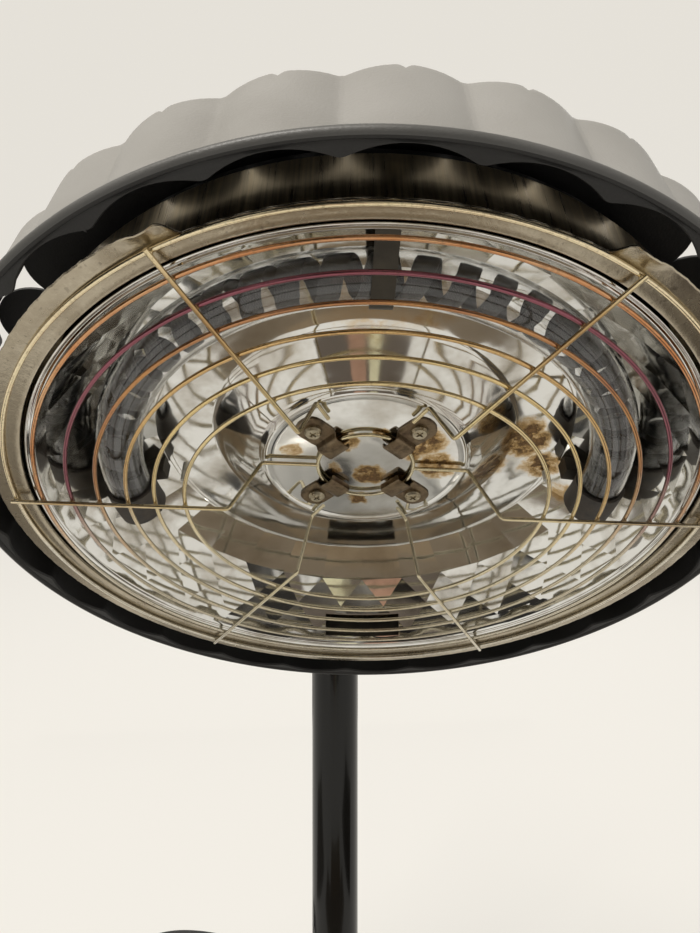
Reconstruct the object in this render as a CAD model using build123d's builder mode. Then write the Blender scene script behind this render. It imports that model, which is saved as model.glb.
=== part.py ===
"""Electric patio heater: round tilting head on a straight post with a weighted base.

Millimetres. The origin is the centre of the base's underside, +Z up, and the head reaches
towards -Y. The head has its own plane: depth 0 is the brim, and depth grows towards its back.
"""
import os
from math import cos, pi, radians, sin

from build123d import *

os.makedirs("parts", exist_ok=True)

# Stand
base_radius = 125
base_height = 34
pad_thickness = 2
pan_thickness = 1.5
sheet = 1.5
post_radius = 17
post_wall = 2
hinge_height = 537.5
ear_radius = 22
ear_thickness = 17
washer_thickness = 1.8
bolt_radius = 5
running_gap = 0.05
face_gap = 0.1

# Head
head_tilt = 38.7
head_reach = 202
head_height = 454.6
side_offset = ear_thickness + washer_thickness + 2 * face_gap
brim_radius = 190
shade_depth = 55
shade_wall = 1.5
flutes = 27
drum_radius = 163
drum_front = 4.1
drum_back = 37
trim_face = 3
trim_inner = 158
trim_outer = 173
cover_depth = 68
reflector_sheet = 0.8
plate_depth = 31.5
floor_depth = 50
tube_ring_radius = 120
tube_depth = 25
tube_radius = 11
tube_start = 173
tube_sweep = 194
wire_radius = 1
ring_radii = (165, 152.7, 139.1, 126.4, 113, 100.3, 86.3)
ring_depth = 1.9
hub_ring_radius = 24
hub_ring_depth = 29.6
spoke_angles = (3.5, -56.5, -116.5, -176.5, 123.5, 63.5)
clip_angles = (45, 135, 225, 315)
clip_screw_radius = 36
post_count = 4
standoff_circle = 92
arm_screw_circle = 23

# Cord
cord_radius = 3.75
gland_angle = 115
gland_height = 12
gland_length = 27
coil_centre = (-165, 100)
coil_mean = 44
coil_half_width = 13
coil_bottom = 1.1
coil_height = 15
plug_radius = 18.5
plug_start = (-185, 36, 18.6)
plug_heading = 309

up_from = (Align.CENTER, Align.CENTER, Align.MIN)
down_from = (Align.CENTER, Align.CENTER, Align.MAX)

tilt = radians(head_tilt)
head = Plane(
    origin=(side_offset, -head_reach, head_height),
    x_dir=(1, 0, 0),
    z_dir=(0, sin(tilt), cos(tilt)),
)
head_axis = Axis(head.origin, head.z_dir)
hinge = Vector(0, 0, hinge_height)
across = Plane(origin=hinge, x_dir=(0, 1, 0), z_dir=(1, 0, 0))


def polar(radius, angle):
    return (radius * cos(radians(angle)), radius * sin(radians(angle)))


def at_depth(depth):
    # A plane square to the head's axis, this far behind the brim.
    return head.offset(depth)


def head_section(angle=0):
    # A plane through the head's axis: radius across, depth up.
    x, y = polar(1, angle)
    outward = head.x_dir * x + head.y_dir * y
    sideways = head.x_dir * y - head.y_dir * x
    return Plane(origin=head.origin, x_dir=outward, z_dir=sideways)


def save(part, label):
    part.label = label
    export_step(part, f"parts/{label}.step")


def rounded_route(points, radii):
    # Straight runs joined by tangent arcs.
    with BuildLine() as route:
        FilletPolyline(*points, radius=radii)
    return route.wire()


def tube_along(route, radius):
    with BuildPart() as tube:
        with BuildSketch(Plane(origin=route @ 0, z_dir=route % 0)):
            Circle(radius)
        sweep(path=route)
    return tube.part


def arc_radii(points):
    # Each arc takes as much of its shorter run as it can.
    radii = []
    for before, corner, after in zip(points, points[1:], points[2:]):
        run_in = Vector(*corner) - Vector(*before)
        run_out = Vector(*after) - Vector(*corner)
        half_turn = radians(run_in.get_angle(run_out)) / 2
        shorter = min(run_in.length, run_out.length)
        radii.append(0.45 * shorter * cos(half_turn) / sin(half_turn))
    return radii


# ---- Shade -------------------------------------------------------------------


def fluted_outline(valley, crest):
    pitch = 360 / flutes
    with BuildSketch() as outline:
        with BuildLine():
            for i in range(flutes):
                start = i * pitch
                middle = start + pitch / 2
                ThreePointArc(polar(valley, start), polar(crest, middle), polar(valley, start + pitch))
        make_face()
    return outline.sketch


brim_valley = 182.5
brim_crest = 187.5
top_valley = 180
top_crest = 184.3
bead_radius = 2
notch = 3

with BuildPart(at_depth(shade_depth)) as shade:
    with BuildSketch(at_depth(0)):
        add(fluted_outline(brim_valley, brim_crest))
    with BuildSketch(at_depth(shade_depth)):
        add(fluted_outline(top_valley, top_crest))
    loft(ruled=True)
    with BuildSketch(at_depth(0)):
        add(fluted_outline(brim_valley - shade_wall, brim_crest - shade_wall))
    with BuildSketch(at_depth(shade_depth)):
        add(fluted_outline(top_valley - shade_wall, top_crest - shade_wall))
    loft(ruled=True, mode=Mode.SUBTRACT)
    # Small V notches in the top edge, one at each crest.
    with PolarLocations(top_crest, flutes, start_angle=180 / flutes):
        Box(10, notch, notch, rotation=(45, 0, 0), mode=Mode.SUBTRACT)
    # Flat brim from the fluted wall out to a round bead.
    with BuildSketch(at_depth(0.4)):
        Circle(brim_radius - bead_radius)
        add(fluted_outline(brim_valley - shade_wall / 2, brim_crest - shade_wall / 2), mode=Mode.SUBTRACT)
    extrude(amount=1.6)
    with BuildSketch(head_section()):
        with Locations((brim_radius - bead_radius, bead_radius)):
            Circle(bead_radius)
    revolve(axis=head_axis)
save(shade.part, "shade")

# Three angle tabs inside the wall's crests hold the shade on the back cover's plate.
plate_front = 53.2
plate_sheet = 1.2
bracket_angles = [180 / flutes * 5 + 120 * i for i in range(3)]
bracket_width = 14
bracket_sheet = 1.2
bracket_foot = 182.6
bracket_screw = 173
with BuildPart() as shade_brackets:
    for angle in bracket_angles:
        with BuildSketch(head_section(angle)):
            with BuildLine():
                Polyline(
                    (bracket_screw - 7, plate_front - 0.05),
                    (bracket_foot, plate_front - 0.05),
                    (bracket_foot + 0.6, plate_front - 12),
                    (bracket_foot + 0.6 - bracket_sheet, plate_front - 12),
                    (bracket_foot - bracket_sheet, plate_front - 0.05 - bracket_sheet),
                    (bracket_screw - 7, plate_front - 0.05 - bracket_sheet),
                    close=True,
                )
            make_face()
        extrude(amount=bracket_width / 2, both=True)
    with BuildSketch(at_depth(plate_front - 3)):
        with PolarLocations(bracket_screw, 3, start_angle=bracket_angles[0]):
            Circle(2.1)
    extrude(amount=4, mode=Mode.SUBTRACT)
save(shade_brackets.part, "shade_brackets")

with BuildPart(at_depth(plate_front + plate_sheet + 0.05)) as shade_screws:
    with PolarLocations(bracket_screw, 3, start_angle=bracket_angles[0]):
        Cylinder(4, 2.4, align=up_from)
        Cylinder(2, 6, align=down_from)
save(shade_screws.part, "shade_screws")

# ---- Drum, trim and back cover -------------------------------------------------

with BuildPart() as drum:
    with BuildSketch(head_section()):
        with BuildLine():
            Polyline(
                (160, drum_front),
                (drum_radius, drum_front),
                (drum_radius, drum_back),
                (153, drum_back),
                (153, drum_back - 1),
                (drum_radius - 1, drum_back - 1),
                (drum_radius - 1, drum_front + 1),
                (160, drum_front + 1),
                close=True,
            )
        make_face()
    revolve(axis=head_axis)
save(drum.part, "drum")

gap_start = -113
gap_end = -61
gap_radius = 165.8
with BuildPart() as trim_ring:
    with BuildSketch(head_section()):
        with BuildLine():
            Polyline(
                (trim_inner, trim_face),
                (trim_outer, trim_face),
                (trim_outer, trim_face + 1),
                (trim_inner + 1, trim_face + 1),
                (trim_inner + 1, trim_face + 6),
                (trim_inner, trim_face + 6),
                close=True,
            )
        make_face()
    revolve(axis=head_axis)
    # The outer flange is left off between the two spokes at the raised side.
    with BuildSketch(at_depth(trim_face - 1)):
        with BuildLine():
            Polyline((0, 0), polar(260, gap_start), polar(260, gap_end), close=True)
        make_face()
        Circle(gap_radius, mode=Mode.SUBTRACT)
    extrude(amount=3, mode=Mode.SUBTRACT)
save(trim_ring.part, "trim_ring")

vent_count = 12
cable_hole = 8
cover_sheet = 1.2
petal_valley = 164
petal_crest = 181.5
with BuildPart(at_depth(cover_depth)) as back_cover:
    with BuildSketch(head_section()):
        with BuildLine():
            Polyline((0, cover_depth), (105, cover_depth), (126, 63), (160, 44), (160, drum_back + face_gap))
            Line((160, drum_back + face_gap), (160 - cover_sheet, drum_back + face_gap))
            Polyline(
                (160 - cover_sheet, drum_back + face_gap),
                (160 - cover_sheet, 43.3),
                (125.6, 61.8),
                (104.8, cover_depth - cover_sheet),
                (0, cover_depth - cover_sheet),
                (0, cover_depth),
            )
        make_face()
    revolve(axis=head_axis)
    # A plate of round petals closes the back of the shade and leaves a vent at each valley.
    with BuildSketch(at_depth(plate_front)):
        add(fluted_outline(petal_valley, petal_crest))
        Circle(143, mode=Mode.SUBTRACT)
        with PolarLocations(bracket_screw, 3, start_angle=bracket_angles[0]):
            Circle(2.1, mode=Mode.SUBTRACT)
    extrude(amount=plate_sheet)
    with BuildSketch(at_depth(cover_depth)):
        Circle(cable_hole)
        with PolarLocations(64, vent_count):
            SlotOverall(26, 4)
        with PolarLocations(standoff_circle, post_count, start_angle=45):
            Circle(2.1)
        with PolarLocations(arm_screw_circle, 4, start_angle=45):
            Circle(2.6)
    extrude(amount=-3, mode=Mode.SUBTRACT)
save(back_cover.part, "back_cover")

# ---- Reflector and what stands on it ---------------------------------------------

slot_width = 47
slot_height = 12
with BuildPart() as reflector:
    with BuildSketch(head_section()):
        with BuildLine() as bowl:
            Polyline(
                (0, plate_depth),
                (49, plate_depth),
                (52, 33),
                (75, 48.5),
                (79, floor_depth),
                (108, floor_depth),
                (131, 40),
                (150, 12),
                (153, 6),
                (156.4, 4.6),
            )
            offset(amount=reflector_sheet, side=Side.LEFT)
        make_face()
    revolve(axis=head_axis)
    with Locations(head * Location((0, 147, 16))):
        Box(slot_width, 30, slot_height, mode=Mode.SUBTRACT)
    with BuildSketch(at_depth(plate_depth - 1)):
        with PolarLocations(clip_screw_radius, 4, start_angle=clip_angles[0]):
            Circle(2.1)
    extrude(amount=4, mode=Mode.SUBTRACT)
    with BuildSketch(at_depth(floor_depth - 1)):
        with Locations(polar(104, 17), polar(104, 163)):
            Circle(3)
    extrude(amount=4, mode=Mode.SUBTRACT)
save(reflector.part, "reflector")

with BuildPart() as slot_plate:
    with Locations(head * Location((0, 155.5, 18))):
        Box(56, 1, 15)
save(slot_plate.part, "slot_plate")

with BuildPart() as quartz_tube:
    with BuildSketch(head_section(tube_start)):
        with Locations((tube_ring_radius, tube_depth)):
            Circle(tube_radius)
            Circle(tube_radius - 1.2, mode=Mode.SUBTRACT)
    revolve(axis=head_axis, revolution_arc=tube_sweep)
save(quartz_tube.part, "quartz_tube")

with BuildPart() as carbon_element:
    with BuildSketch(head_section(tube_start + 1)):
        with Locations((tube_ring_radius, tube_depth)):
            Rectangle(8.5, 2)
    revolve(axis=head_axis, revolution_arc=tube_sweep - 2)
save(carbon_element.part, "carbon_element")

cap_radius = 12.6
cap_sweep = 9
cap_overlap = 3
cap_starts = (tube_start - cap_sweep + cap_overlap, tube_start + tube_sweep - cap_overlap)
with BuildPart() as tube_end_caps:
    for start in cap_starts:
        with BuildSketch(head_section(start)):
            with Locations((tube_ring_radius, tube_depth)):
                Circle(cap_radius)
        revolve(axis=head_axis, revolution_arc=cap_sweep)
    with BuildSketch(head_section(tube_start - 0.05)):
        with Locations((tube_ring_radius, tube_depth)):
            Circle(tube_radius + running_gap)
    revolve(axis=head_axis, revolution_arc=tube_sweep + 0.1, mode=Mode.SUBTRACT)
save(tube_end_caps.part, "tube_end_caps")

strap_width = 8.6
strap_sheet = 1
with BuildPart() as tube_support:
    # A strap from the reflector's outer wall, over the tube and down to the trough floor.
    with BuildSketch(head_section(-88)):
        with Locations((tube_ring_radius, tube_depth)):
            Circle(tube_radius + 0.4 + strap_sheet)
            Circle(tube_radius + 0.4, mode=Mode.SUBTRACT)
        with Locations((tube_ring_radius + 20, tube_depth + 20)):
            Rectangle(40, 40, mode=Mode.SUBTRACT)
        with Locations((tube_ring_radius + 14, tube_depth - tube_radius - 0.9)):
            Rectangle(29, strap_sheet)
        with Locations((tube_ring_radius - tube_radius - 0.9, tube_depth + 13.8)):
            Rectangle(strap_sheet, 22)
        with Locations((tube_ring_radius + 12, tube_depth + 12.5)):
            Rectangle(24, 26, mode=Mode.SUBTRACT)
    extrude(amount=strap_width / 2, both=True)
save(tube_support.part, "tube_support")

with BuildPart() as cap_brackets:
    for middle in (tube_start - 3, tube_start + tube_sweep + 3):
        # A cradle under each cap, standing on the trough floor.
        with BuildSketch(head_section(middle)):
            with Locations((tube_ring_radius - 2, 43.5)):
                Rectangle(21, 9)
            with Locations((tube_ring_radius, tube_depth)):
                Circle(cap_radius + 0.05, mode=Mode.SUBTRACT)
            with BuildLine():
                Polyline((104, 52.5), (108.5, 49.4), (132, 39.2), (132, 53), close=True)
            make_face(mode=Mode.SUBTRACT)
        extrude(amount=4, both=True)
save(cap_brackets.part, "cap_brackets")

# ---- Guard ----------------------------------------------------------------------

with BuildPart() as guard_rings:
    with BuildSketch(head_section()):
        for radius in ring_radii:
            with Locations((radius, ring_depth)):
                Circle(wire_radius)
    revolve(axis=head_axis)
save(guard_rings.part, "guard_rings")

with BuildPart() as guard_hub_ring:
    with BuildSketch(head_section()):
        with Locations((hub_ring_radius, hub_ring_depth)):
            Circle(wire_radius)
    revolve(axis=head_axis)
save(guard_hub_ring.part, "guard_hub_ring")

spoke_outer = 167
spoke_bend = 66
spoke_step = 52
with BuildPart() as guard_spokes:
    for i, angle in enumerate(spoke_angles):
        # The two spokes across the head reach the hub ring, the others end under a clip.
        inner_end = hub_ring_radius if i % 3 == 0 else clip_screw_radius + 4
        inner_depth = hub_ring_depth - 0.4
        section = head_section(angle)
        corners = ((spoke_outer, 0), (spoke_bend, 0), (spoke_step, inner_depth), (inner_end, inner_depth))
        places = [section.from_local_coords(Vector(x, y, 0)) for x, y in corners]
        add(tube_along(rounded_route(places, 2.5), wire_radius))
save(guard_spokes.part, "guard_spokes")

clip_sheet = 0.8
clip_front = plate_depth - clip_sheet - 0.05
with BuildPart() as guard_clips:
    with BuildSketch(at_depth(clip_front)):
        for angle in clip_angles:
            with Locations(Location(polar(clip_screw_radius, angle), angle)):
                SlotOverall(22, 15)
                with Locations((-7, 0)):
                    Rectangle(8, 15)
    extrude(amount=clip_sheet)
    with BuildSketch(at_depth(clip_front)):
        for angle in clip_angles:
            with Locations(Location(polar(clip_screw_radius - 10.6, angle), angle)):
                Rectangle(clip_sheet, 12)
    extrude(amount=-3)
    with BuildSketch(at_depth(clip_front - 3)):
        for angle in clip_angles:
            with Locations(Location(polar(clip_screw_radius - 13.6, angle), angle)):
                Rectangle(6.8, 12)
    extrude(amount=-clip_sheet)
    with BuildSketch(at_depth(plate_depth - 4)):
        with PolarLocations(clip_screw_radius, 4, start_angle=clip_angles[0]):
            Circle(2.1)
    extrude(amount=5, mode=Mode.SUBTRACT)
save(guard_clips.part, "guard_clips")

screw_seat = plate_depth - clip_sheet - 0.1
with BuildPart(at_depth(screw_seat)) as clip_screws:
    with PolarLocations(clip_screw_radius, 4, start_angle=clip_angles[0]):
        Cylinder(4.25, 1.2, align=down_from)
        Cylinder(2, 10, align=up_from)
    with BuildSketch(at_depth(screw_seat - 1.2)):
        with PolarLocations(clip_screw_radius, 4, start_angle=clip_angles[0]):
            Circle(4.25)
    extrude(amount=-1.2, taper=35)
    with PolarLocations(clip_screw_radius, 4, start_angle=clip_angles[0]):
        with Locations((0, 0, -2.4)):
            Box(4, 0.9, 2, mode=Mode.SUBTRACT)
            Box(0.9, 4, 2, mode=Mode.SUBTRACT)
save(clip_screws.part, "clip_screws")

# ---- Behind the reflector ---------------------------------------------------------

shield_depth = 54
with BuildPart() as heat_shield:
    with BuildSketch(at_depth(shield_depth)):
        Circle(128)
        Circle(10, mode=Mode.SUBTRACT)
        with PolarLocations(standoff_circle, post_count, start_angle=45):
            Circle(3.1, mode=Mode.SUBTRACT)
        with Locations(polar(104, 17), polar(104, 163)):
            Circle(4, mode=Mode.SUBTRACT)
    extrude(amount=0.8)
save(heat_shield.part, "heat_shield")

standoff_start = floor_depth + reflector_sheet + 0.05
standoff_end = cover_depth - cover_sheet - 0.05
with BuildPart(at_depth(standoff_start)) as standoffs:
    with PolarLocations(standoff_circle, post_count, start_angle=45):
        Cylinder(3, standoff_end - standoff_start, align=up_from)
save(standoffs.part, "standoffs")

with BuildPart(at_depth(cover_depth + 0.05)) as cover_screws:
    with PolarLocations(standoff_circle, post_count, start_angle=45):
        Cylinder(4, 2.4, align=up_from)
        with Locations((0, 0, 2.4)):
            Box(4, 0.9, 2, mode=Mode.SUBTRACT)
            Box(0.9, 4, 2, mode=Mode.SUBTRACT)
        Cylinder(2, 1.2, align=down_from)
save(cover_screws.part, "cover_screws")

block_base = shield_depth + 0.85
with BuildPart() as terminal_block:
    with Locations(head * Location((0, -34, block_base))):
        Box(36, 18, 10, align=up_from)
    with Locations(head * Location((-10, -34, block_base + 10)), head * Location((10, -34, block_base + 10))):
        Cylinder(3.2, 6, align=down_from, mode=Mode.SUBTRACT)
save(terminal_block.part, "terminal_block")

with BuildPart() as thermal_cutout:
    with Locations(head * Location((34, 30, block_base))):
        Box(26, 9, 1, align=up_from)
        Cylinder(8, 8, align=up_from)
save(thermal_cutout.part, "thermal_cutout")

with BuildPart() as lead_wires:
    for side in (1, -1):
        local = ((side * 99.45, 30.4, 44), (side * 99.45, 30.4, 60), (side * 60, -5, 60), (side * 20, -34, 60))
        points = [head.from_local_coords(Vector(*point)) for point in local]
        add(tube_along(rounded_route(points, 4), 1.3))
save(lead_wires.part, "lead_wires")

# ---- Tilt arm and hinge --------------------------------------------------------------

arm_radius = 12.5
arm_wall = 2
arm_bend = 35
flange_radius = 30
arm_x = side_offset
arm_start = head.from_local_coords(Vector(0, 0, cover_depth + 5))
corner_depth = (hinge_height - head_height) / cos(tilt)
arm_corner = head.from_local_coords(Vector(0, 0, corner_depth))
arm_end = Vector(arm_x, -34, hinge_height)
ear_plane = Plane(origin=(arm_x - ear_thickness / 2, 0, hinge_height), x_dir=(0, 1, 0), z_dir=(1, 0, 0))
with BuildPart() as tilt_arm:
    with BuildLine() as arm_path:
        FilletPolyline(arm_start, arm_corner, arm_end, radius=arm_bend)
    with BuildSketch(Plane(origin=arm_start, x_dir=(1, 0, 0), z_dir=head.z_dir)):
        Circle(arm_radius)
        Circle(arm_radius - arm_wall, mode=Mode.SUBTRACT)
    sweep(path=arm_path.line)
    with BuildSketch(at_depth(cover_depth + face_gap)):
        Circle(flange_radius)
        Circle(cable_hole, mode=Mode.SUBTRACT)
        with PolarLocations(arm_screw_circle, 4, start_angle=45):
            Circle(2.6, mode=Mode.SUBTRACT)
    extrude(amount=5 - face_gap)
    with BuildSketch(ear_plane):
        Circle(ear_radius)
        with BuildLine():
            Polyline((-40, arm_radius), (0, ear_radius), (0, -ear_radius), (-40, -arm_radius), close=True)
        make_face()
        Circle(bolt_radius + running_gap, mode=Mode.SUBTRACT)
    extrude(amount=ear_thickness)
save(tilt_arm.part, "tilt_arm")

with BuildPart() as arm_screws:
    with Locations(head * Location((0, 0, cover_depth + 5.05))):
        with PolarLocations(arm_screw_circle, 4, start_angle=45):
            Cylinder(4.2, 3, align=up_from)
            Cylinder(2.5, 6.3, align=down_from)
            with Locations((0, 0, 3)):
                Cylinder(2, 3, mode=Mode.SUBTRACT)
save(arm_screws.part, "arm_screws")

knuckle_plug = 38
knuckle_shoulder = hinge_height - 40
with BuildPart() as post_knuckle:
    with Locations((0, 0, knuckle_shoulder)):
        Cylinder(post_radius - post_wall - running_gap, knuckle_plug, align=down_from)
        Cylinder(post_radius, 6, align=up_from)
    with BuildSketch(Plane(origin=(-ear_thickness / 2, 0, hinge_height), x_dir=(0, 1, 0), z_dir=(1, 0, 0))):
        Circle(ear_radius)
        with BuildLine():
            Polyline((-14, -36), (-20, -6), (20, -6), (14, -36), close=True)
        make_face()
    extrude(amount=ear_thickness)
    with Locations(across * Location((0, 0, 0))):
        Cylinder(bolt_radius + running_gap, ear_thickness + 2, mode=Mode.SUBTRACT)
save(post_knuckle.part, "post_knuckle")

head_face = -ear_thickness / 2 - face_gap
knob_face = arm_x + ear_thickness / 2 + washer_thickness + 3 * face_gap
knob_length = 20
with BuildPart() as tilt_bolt:
    with Locations(across * Location((0, 0, head_face))):
        Cylinder(9, 5, align=down_from)
        Cylinder(bolt_radius, knob_face + knob_length - 3 - head_face, align=up_from)
        with Locations((0, 0, -5)):
            Cylinder(3.5, 5, mode=Mode.SUBTRACT)
save(tilt_bolt.part, "tilt_bolt")

inner_washer = ear_thickness / 2 + face_gap
outer_washer = arm_x + ear_thickness / 2 + face_gap
with BuildPart() as friction_washers:
    with BuildSketch(across.offset(inner_washer), across.offset(outer_washer)):
        Circle(ear_radius - 2)
        Circle(bolt_radius + running_gap, mode=Mode.SUBTRACT)
    extrude(amount=washer_thickness)
save(friction_washers.part, "friction_washers")

insert_radius = 8
with BuildPart() as tilt_knob:
    with BuildSketch(across.offset(knob_face)):
        Circle(21)
        with PolarLocations(18, 6):
            Circle(6.5)
        Circle(insert_radius, mode=Mode.SUBTRACT)
    extrude(amount=knob_length)
    top_edges = tilt_knob.edges().group_by(Axis.X)[-1].filter_by(lambda edge: edge.length < 15)
    chamfer(top_edges, 1)
save(tilt_knob.part, "tilt_knob")

with BuildPart() as knob_insert:
    with BuildSketch(across.offset(knob_face)):
        Circle(insert_radius)
        Circle(bolt_radius + running_gap, mode=Mode.SUBTRACT)
    extrude(amount=knob_length)
save(knob_insert.part, "knob_insert")

# ---- Post and base ----------------------------------------------------------------------

pan_top = pad_thickness + pan_thickness
weight_bottom = pan_top + 0.1
weight_height = 14
weight_top = weight_bottom + weight_height
socket_height = 44
with BuildPart() as post_tube:
    with Locations((0, 0, weight_top + 6.1)):
        Cylinder(post_radius, knuckle_shoulder - weight_top - 6.2, align=up_from)
        Cylinder(post_radius - post_wall, knuckle_shoulder, align=up_from, mode=Mode.SUBTRACT)
save(post_tube.part, "post_tube")

with BuildPart() as post_socket:
    # The socket is bolted down on the weight, and its spigot fills the tube's foot.
    with Locations((0, 0, weight_top + 0.05)):
        Cylinder(34, 6, align=up_from)
        Cylinder(post_radius - post_wall - running_gap, socket_height, align=up_from)
        Cylinder(6, socket_height + 2, align=up_from, mode=Mode.SUBTRACT)
        with PolarLocations(25, 4, start_angle=45):
            Cylinder(3.1, 8, align=up_from, mode=Mode.SUBTRACT)
save(post_socket.part, "post_socket")

with BuildPart() as socket_screws:
    with Locations((0, 0, weight_top + 6.1)):
        with PolarLocations(25, 4, start_angle=45):
            Cylinder(5, 4, align=up_from)
            Cylinder(3, 6 + weight_height - 4, align=down_from)
            with Locations((0, 0, 4)):
                Cylinder(2.5, 4, mode=Mode.SUBTRACT)
save(socket_screws.part, "socket_screws")

collar_radius = 20
with BuildPart() as post_collar:
    with BuildSketch(Plane.XZ):
        with BuildLine():
            Polyline(
                (post_radius + running_gap, base_height + 0.1),
                (collar_radius + 5, base_height + 0.1),
                (collar_radius + 3, base_height + 3),
                (collar_radius - 1, base_height + 10),
                (post_radius + running_gap, base_height + 10),
                close=True,
            )
        make_face()
    revolve(axis=Axis.Z)
save(post_collar.part, "post_collar")

control_place = (0, -72)
plunger_place = (70, 35)
side_height = 20
gland_out = Vector(*polar(1, gland_angle), 0)
gland_seat = gland_out * (base_radius + 0.05) + Vector(0, 0, gland_height)
screw_places = [polar(60, 45 + 90 * i) for i in range(4)]
with BuildPart() as base_cover:
    with BuildSketch(Plane.XZ):
        with BuildLine():
            Polyline(
                (post_radius + 0.3, base_height),
                (base_radius - 14, base_height),
            )
            RadiusArc((base_radius - 14, base_height), (base_radius, side_height), 14)
            Polyline(
                (base_radius, side_height),
                (base_radius, pad_thickness + 0.1),
                (base_radius - sheet, pad_thickness + 0.1),
                (base_radius - sheet, side_height),
            )
            RadiusArc((base_radius - sheet, side_height), (base_radius - 14, base_height - sheet), -12.5)
            Polyline(
                (base_radius - 14, base_height - sheet),
                (post_radius + 0.3, base_height - sheet),
                (post_radius + 0.3, base_height),
            )
        make_face()
    revolve(axis=Axis.Z)
    with Locations((*control_place, base_height)):
        Cylinder(5, 6, mode=Mode.SUBTRACT)
    with BuildSketch(Plane(origin=gland_seat, z_dir=gland_out)):
        Circle(6.1)
    extrude(amount=6, both=True, mode=Mode.SUBTRACT)
save(base_cover.part, "base_cover")

with BuildPart() as base_weight:
    with Locations((0, 0, weight_bottom)):
        Cylinder(106, weight_height, align=up_from)
        Cylinder(10, weight_height + 2, align=up_from, mode=Mode.SUBTRACT)
        with Locations((*plunger_place, 0)):
            Cylinder(9, weight_height + 2, align=up_from, mode=Mode.SUBTRACT)
        with PolarLocations(25, 4, start_angle=45):
            Cylinder(3.05, weight_height + 2, align=up_from, mode=Mode.SUBTRACT)
        with Locations(*[(x, y, 0) for x, y in screw_places]):
            Cylinder(2.6, weight_height + 2, align=up_from, mode=Mode.SUBTRACT)
    chamfer(base_weight.edges().group_by(Axis.Z)[-1].sort_by(SortBy.LENGTH)[-1], 3)
save(base_weight.part, "base_weight")

with BuildPart() as base_pan:
    with Locations((0, 0, pad_thickness + 0.05)):
        Cylinder(base_radius - sheet - 0.2, pan_thickness, align=up_from)
        with Locations((*plunger_place, 0)):
            Cylinder(4.05, 4, align=up_from, mode=Mode.SUBTRACT)
        with Locations(*[(x, y, 0) for x, y in screw_places]):
            Cylinder(2.6, 4, align=up_from, mode=Mode.SUBTRACT)
save(base_pan.part, "base_pan")

with BuildPart() as non_slip_pad:
    Cylinder(base_radius - 3, pad_thickness, align=up_from)
    with Locations((*plunger_place, 0)):
        Cylinder(7, pad_thickness + 1, align=up_from, mode=Mode.SUBTRACT)
    with Locations(*[(x, y, 0) for x, y in screw_places]):
        Cylinder(5, pad_thickness + 1, align=up_from, mode=Mode.SUBTRACT)
    fillet(non_slip_pad.edges().group_by(Axis.Z)[0].sort_by(SortBy.LENGTH)[-1], 0.8)
save(non_slip_pad.part, "non_slip_pad")

with BuildPart() as base_screws:
    with Locations(*[(x, y, pad_thickness) for x, y in screw_places]):
        Cylinder(4.4, 1.6, align=down_from)
        Cylinder(2.5, 12, align=up_from)
save(base_screws.part, "base_screws")

# ---- Switches ------------------------------------------------------------------------------

with BuildPart() as rotary_switch:
    with Locations((*control_place, weight_top + 0.1)):
        Box(30, 26, base_height - sheet - weight_top - 0.3, align=up_from)
        with Locations((0, 0, 2)):
            Cylinder(3.2, 20, align=up_from, mode=Mode.SUBTRACT)
save(rotary_switch.part, "rotary_switch")

knob_bottom = base_height + 0.4
knob_height = 15
with BuildPart() as control_knob:
    with Locations((*control_place, knob_bottom)):
        Cylinder(17, 3, align=up_from)
        Cylinder(14, knob_height, align=up_from)
        Cylinder(3.1, 10, align=down_from)
    fillet(control_knob.edges().group_by(Axis.Z)[-1], 1.2)
    # A groove on top marks the setting.
    with Locations((control_place[0], control_place[1] - 8, knob_bottom + knob_height)):
        Box(1.6, 9, 1.6, mode=Mode.SUBTRACT)
save(control_knob.part, "control_knob")

with BuildPart() as tip_switch:
    with Locations((*plunger_place, 25)):
        Box(26, 14, 7, align=up_from)
save(tip_switch.part, "tip_switch")

plunger_collar = 10
with BuildPart() as tip_plunger:
    with Locations((*plunger_place, 0)):
        Cylinder(4, 22, align=up_from)
        with Locations((0, 0, plunger_collar)):
            Cylinder(7, 2, align=up_from)
    fillet(tip_plunger.edges().group_by(Axis.Z)[0], 1.2)
save(tip_plunger.part, "tip_plunger")

spring_bottom = plunger_collar + 2.5
spring_top = 24.5
with BuildPart() as tip_spring:
    spring_foot = (*plunger_place, spring_bottom)
    with BuildLine() as turns:
        Helix(pitch=3, height=spring_top - spring_bottom - 0.5, radius=5.6, center=spring_foot)
    with BuildSketch(Plane(origin=turns.line @ 0, z_dir=turns.line % 0)):
        Circle(0.45)
    sweep(path=turns.line)
save(tip_spring.part, "tip_spring")

with BuildPart() as post_cable:
    with Locations((0, 0, weight_top + 8)):
        Cylinder(3.5, knuckle_shoulder - knuckle_plug - weight_top - 10, align=up_from)
save(post_cable.part, "post_cable")

# ---- Cord --------------------------------------------------------------------------------------

gland_end = gland_out * (base_radius + gland_length) + Vector(0, 0, gland_height)
with BuildPart() as cord_gland:
    with BuildSketch(Plane(origin=gland_seat, z_dir=gland_out)):
        Circle(9)
    extrude(amount=3)
    with BuildSketch(Plane(origin=gland_seat, z_dir=-gland_out)):
        Circle(6)
    extrude(amount=6)
    with BuildSketch(Plane(origin=gland_seat, z_dir=gland_out)):
        Circle(7.5)
    with BuildSketch(Plane(origin=gland_end, z_dir=gland_out)):
        Circle(cord_radius + 0.9)
    loft()
save(cord_gland.part, "cord_gland")

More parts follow.
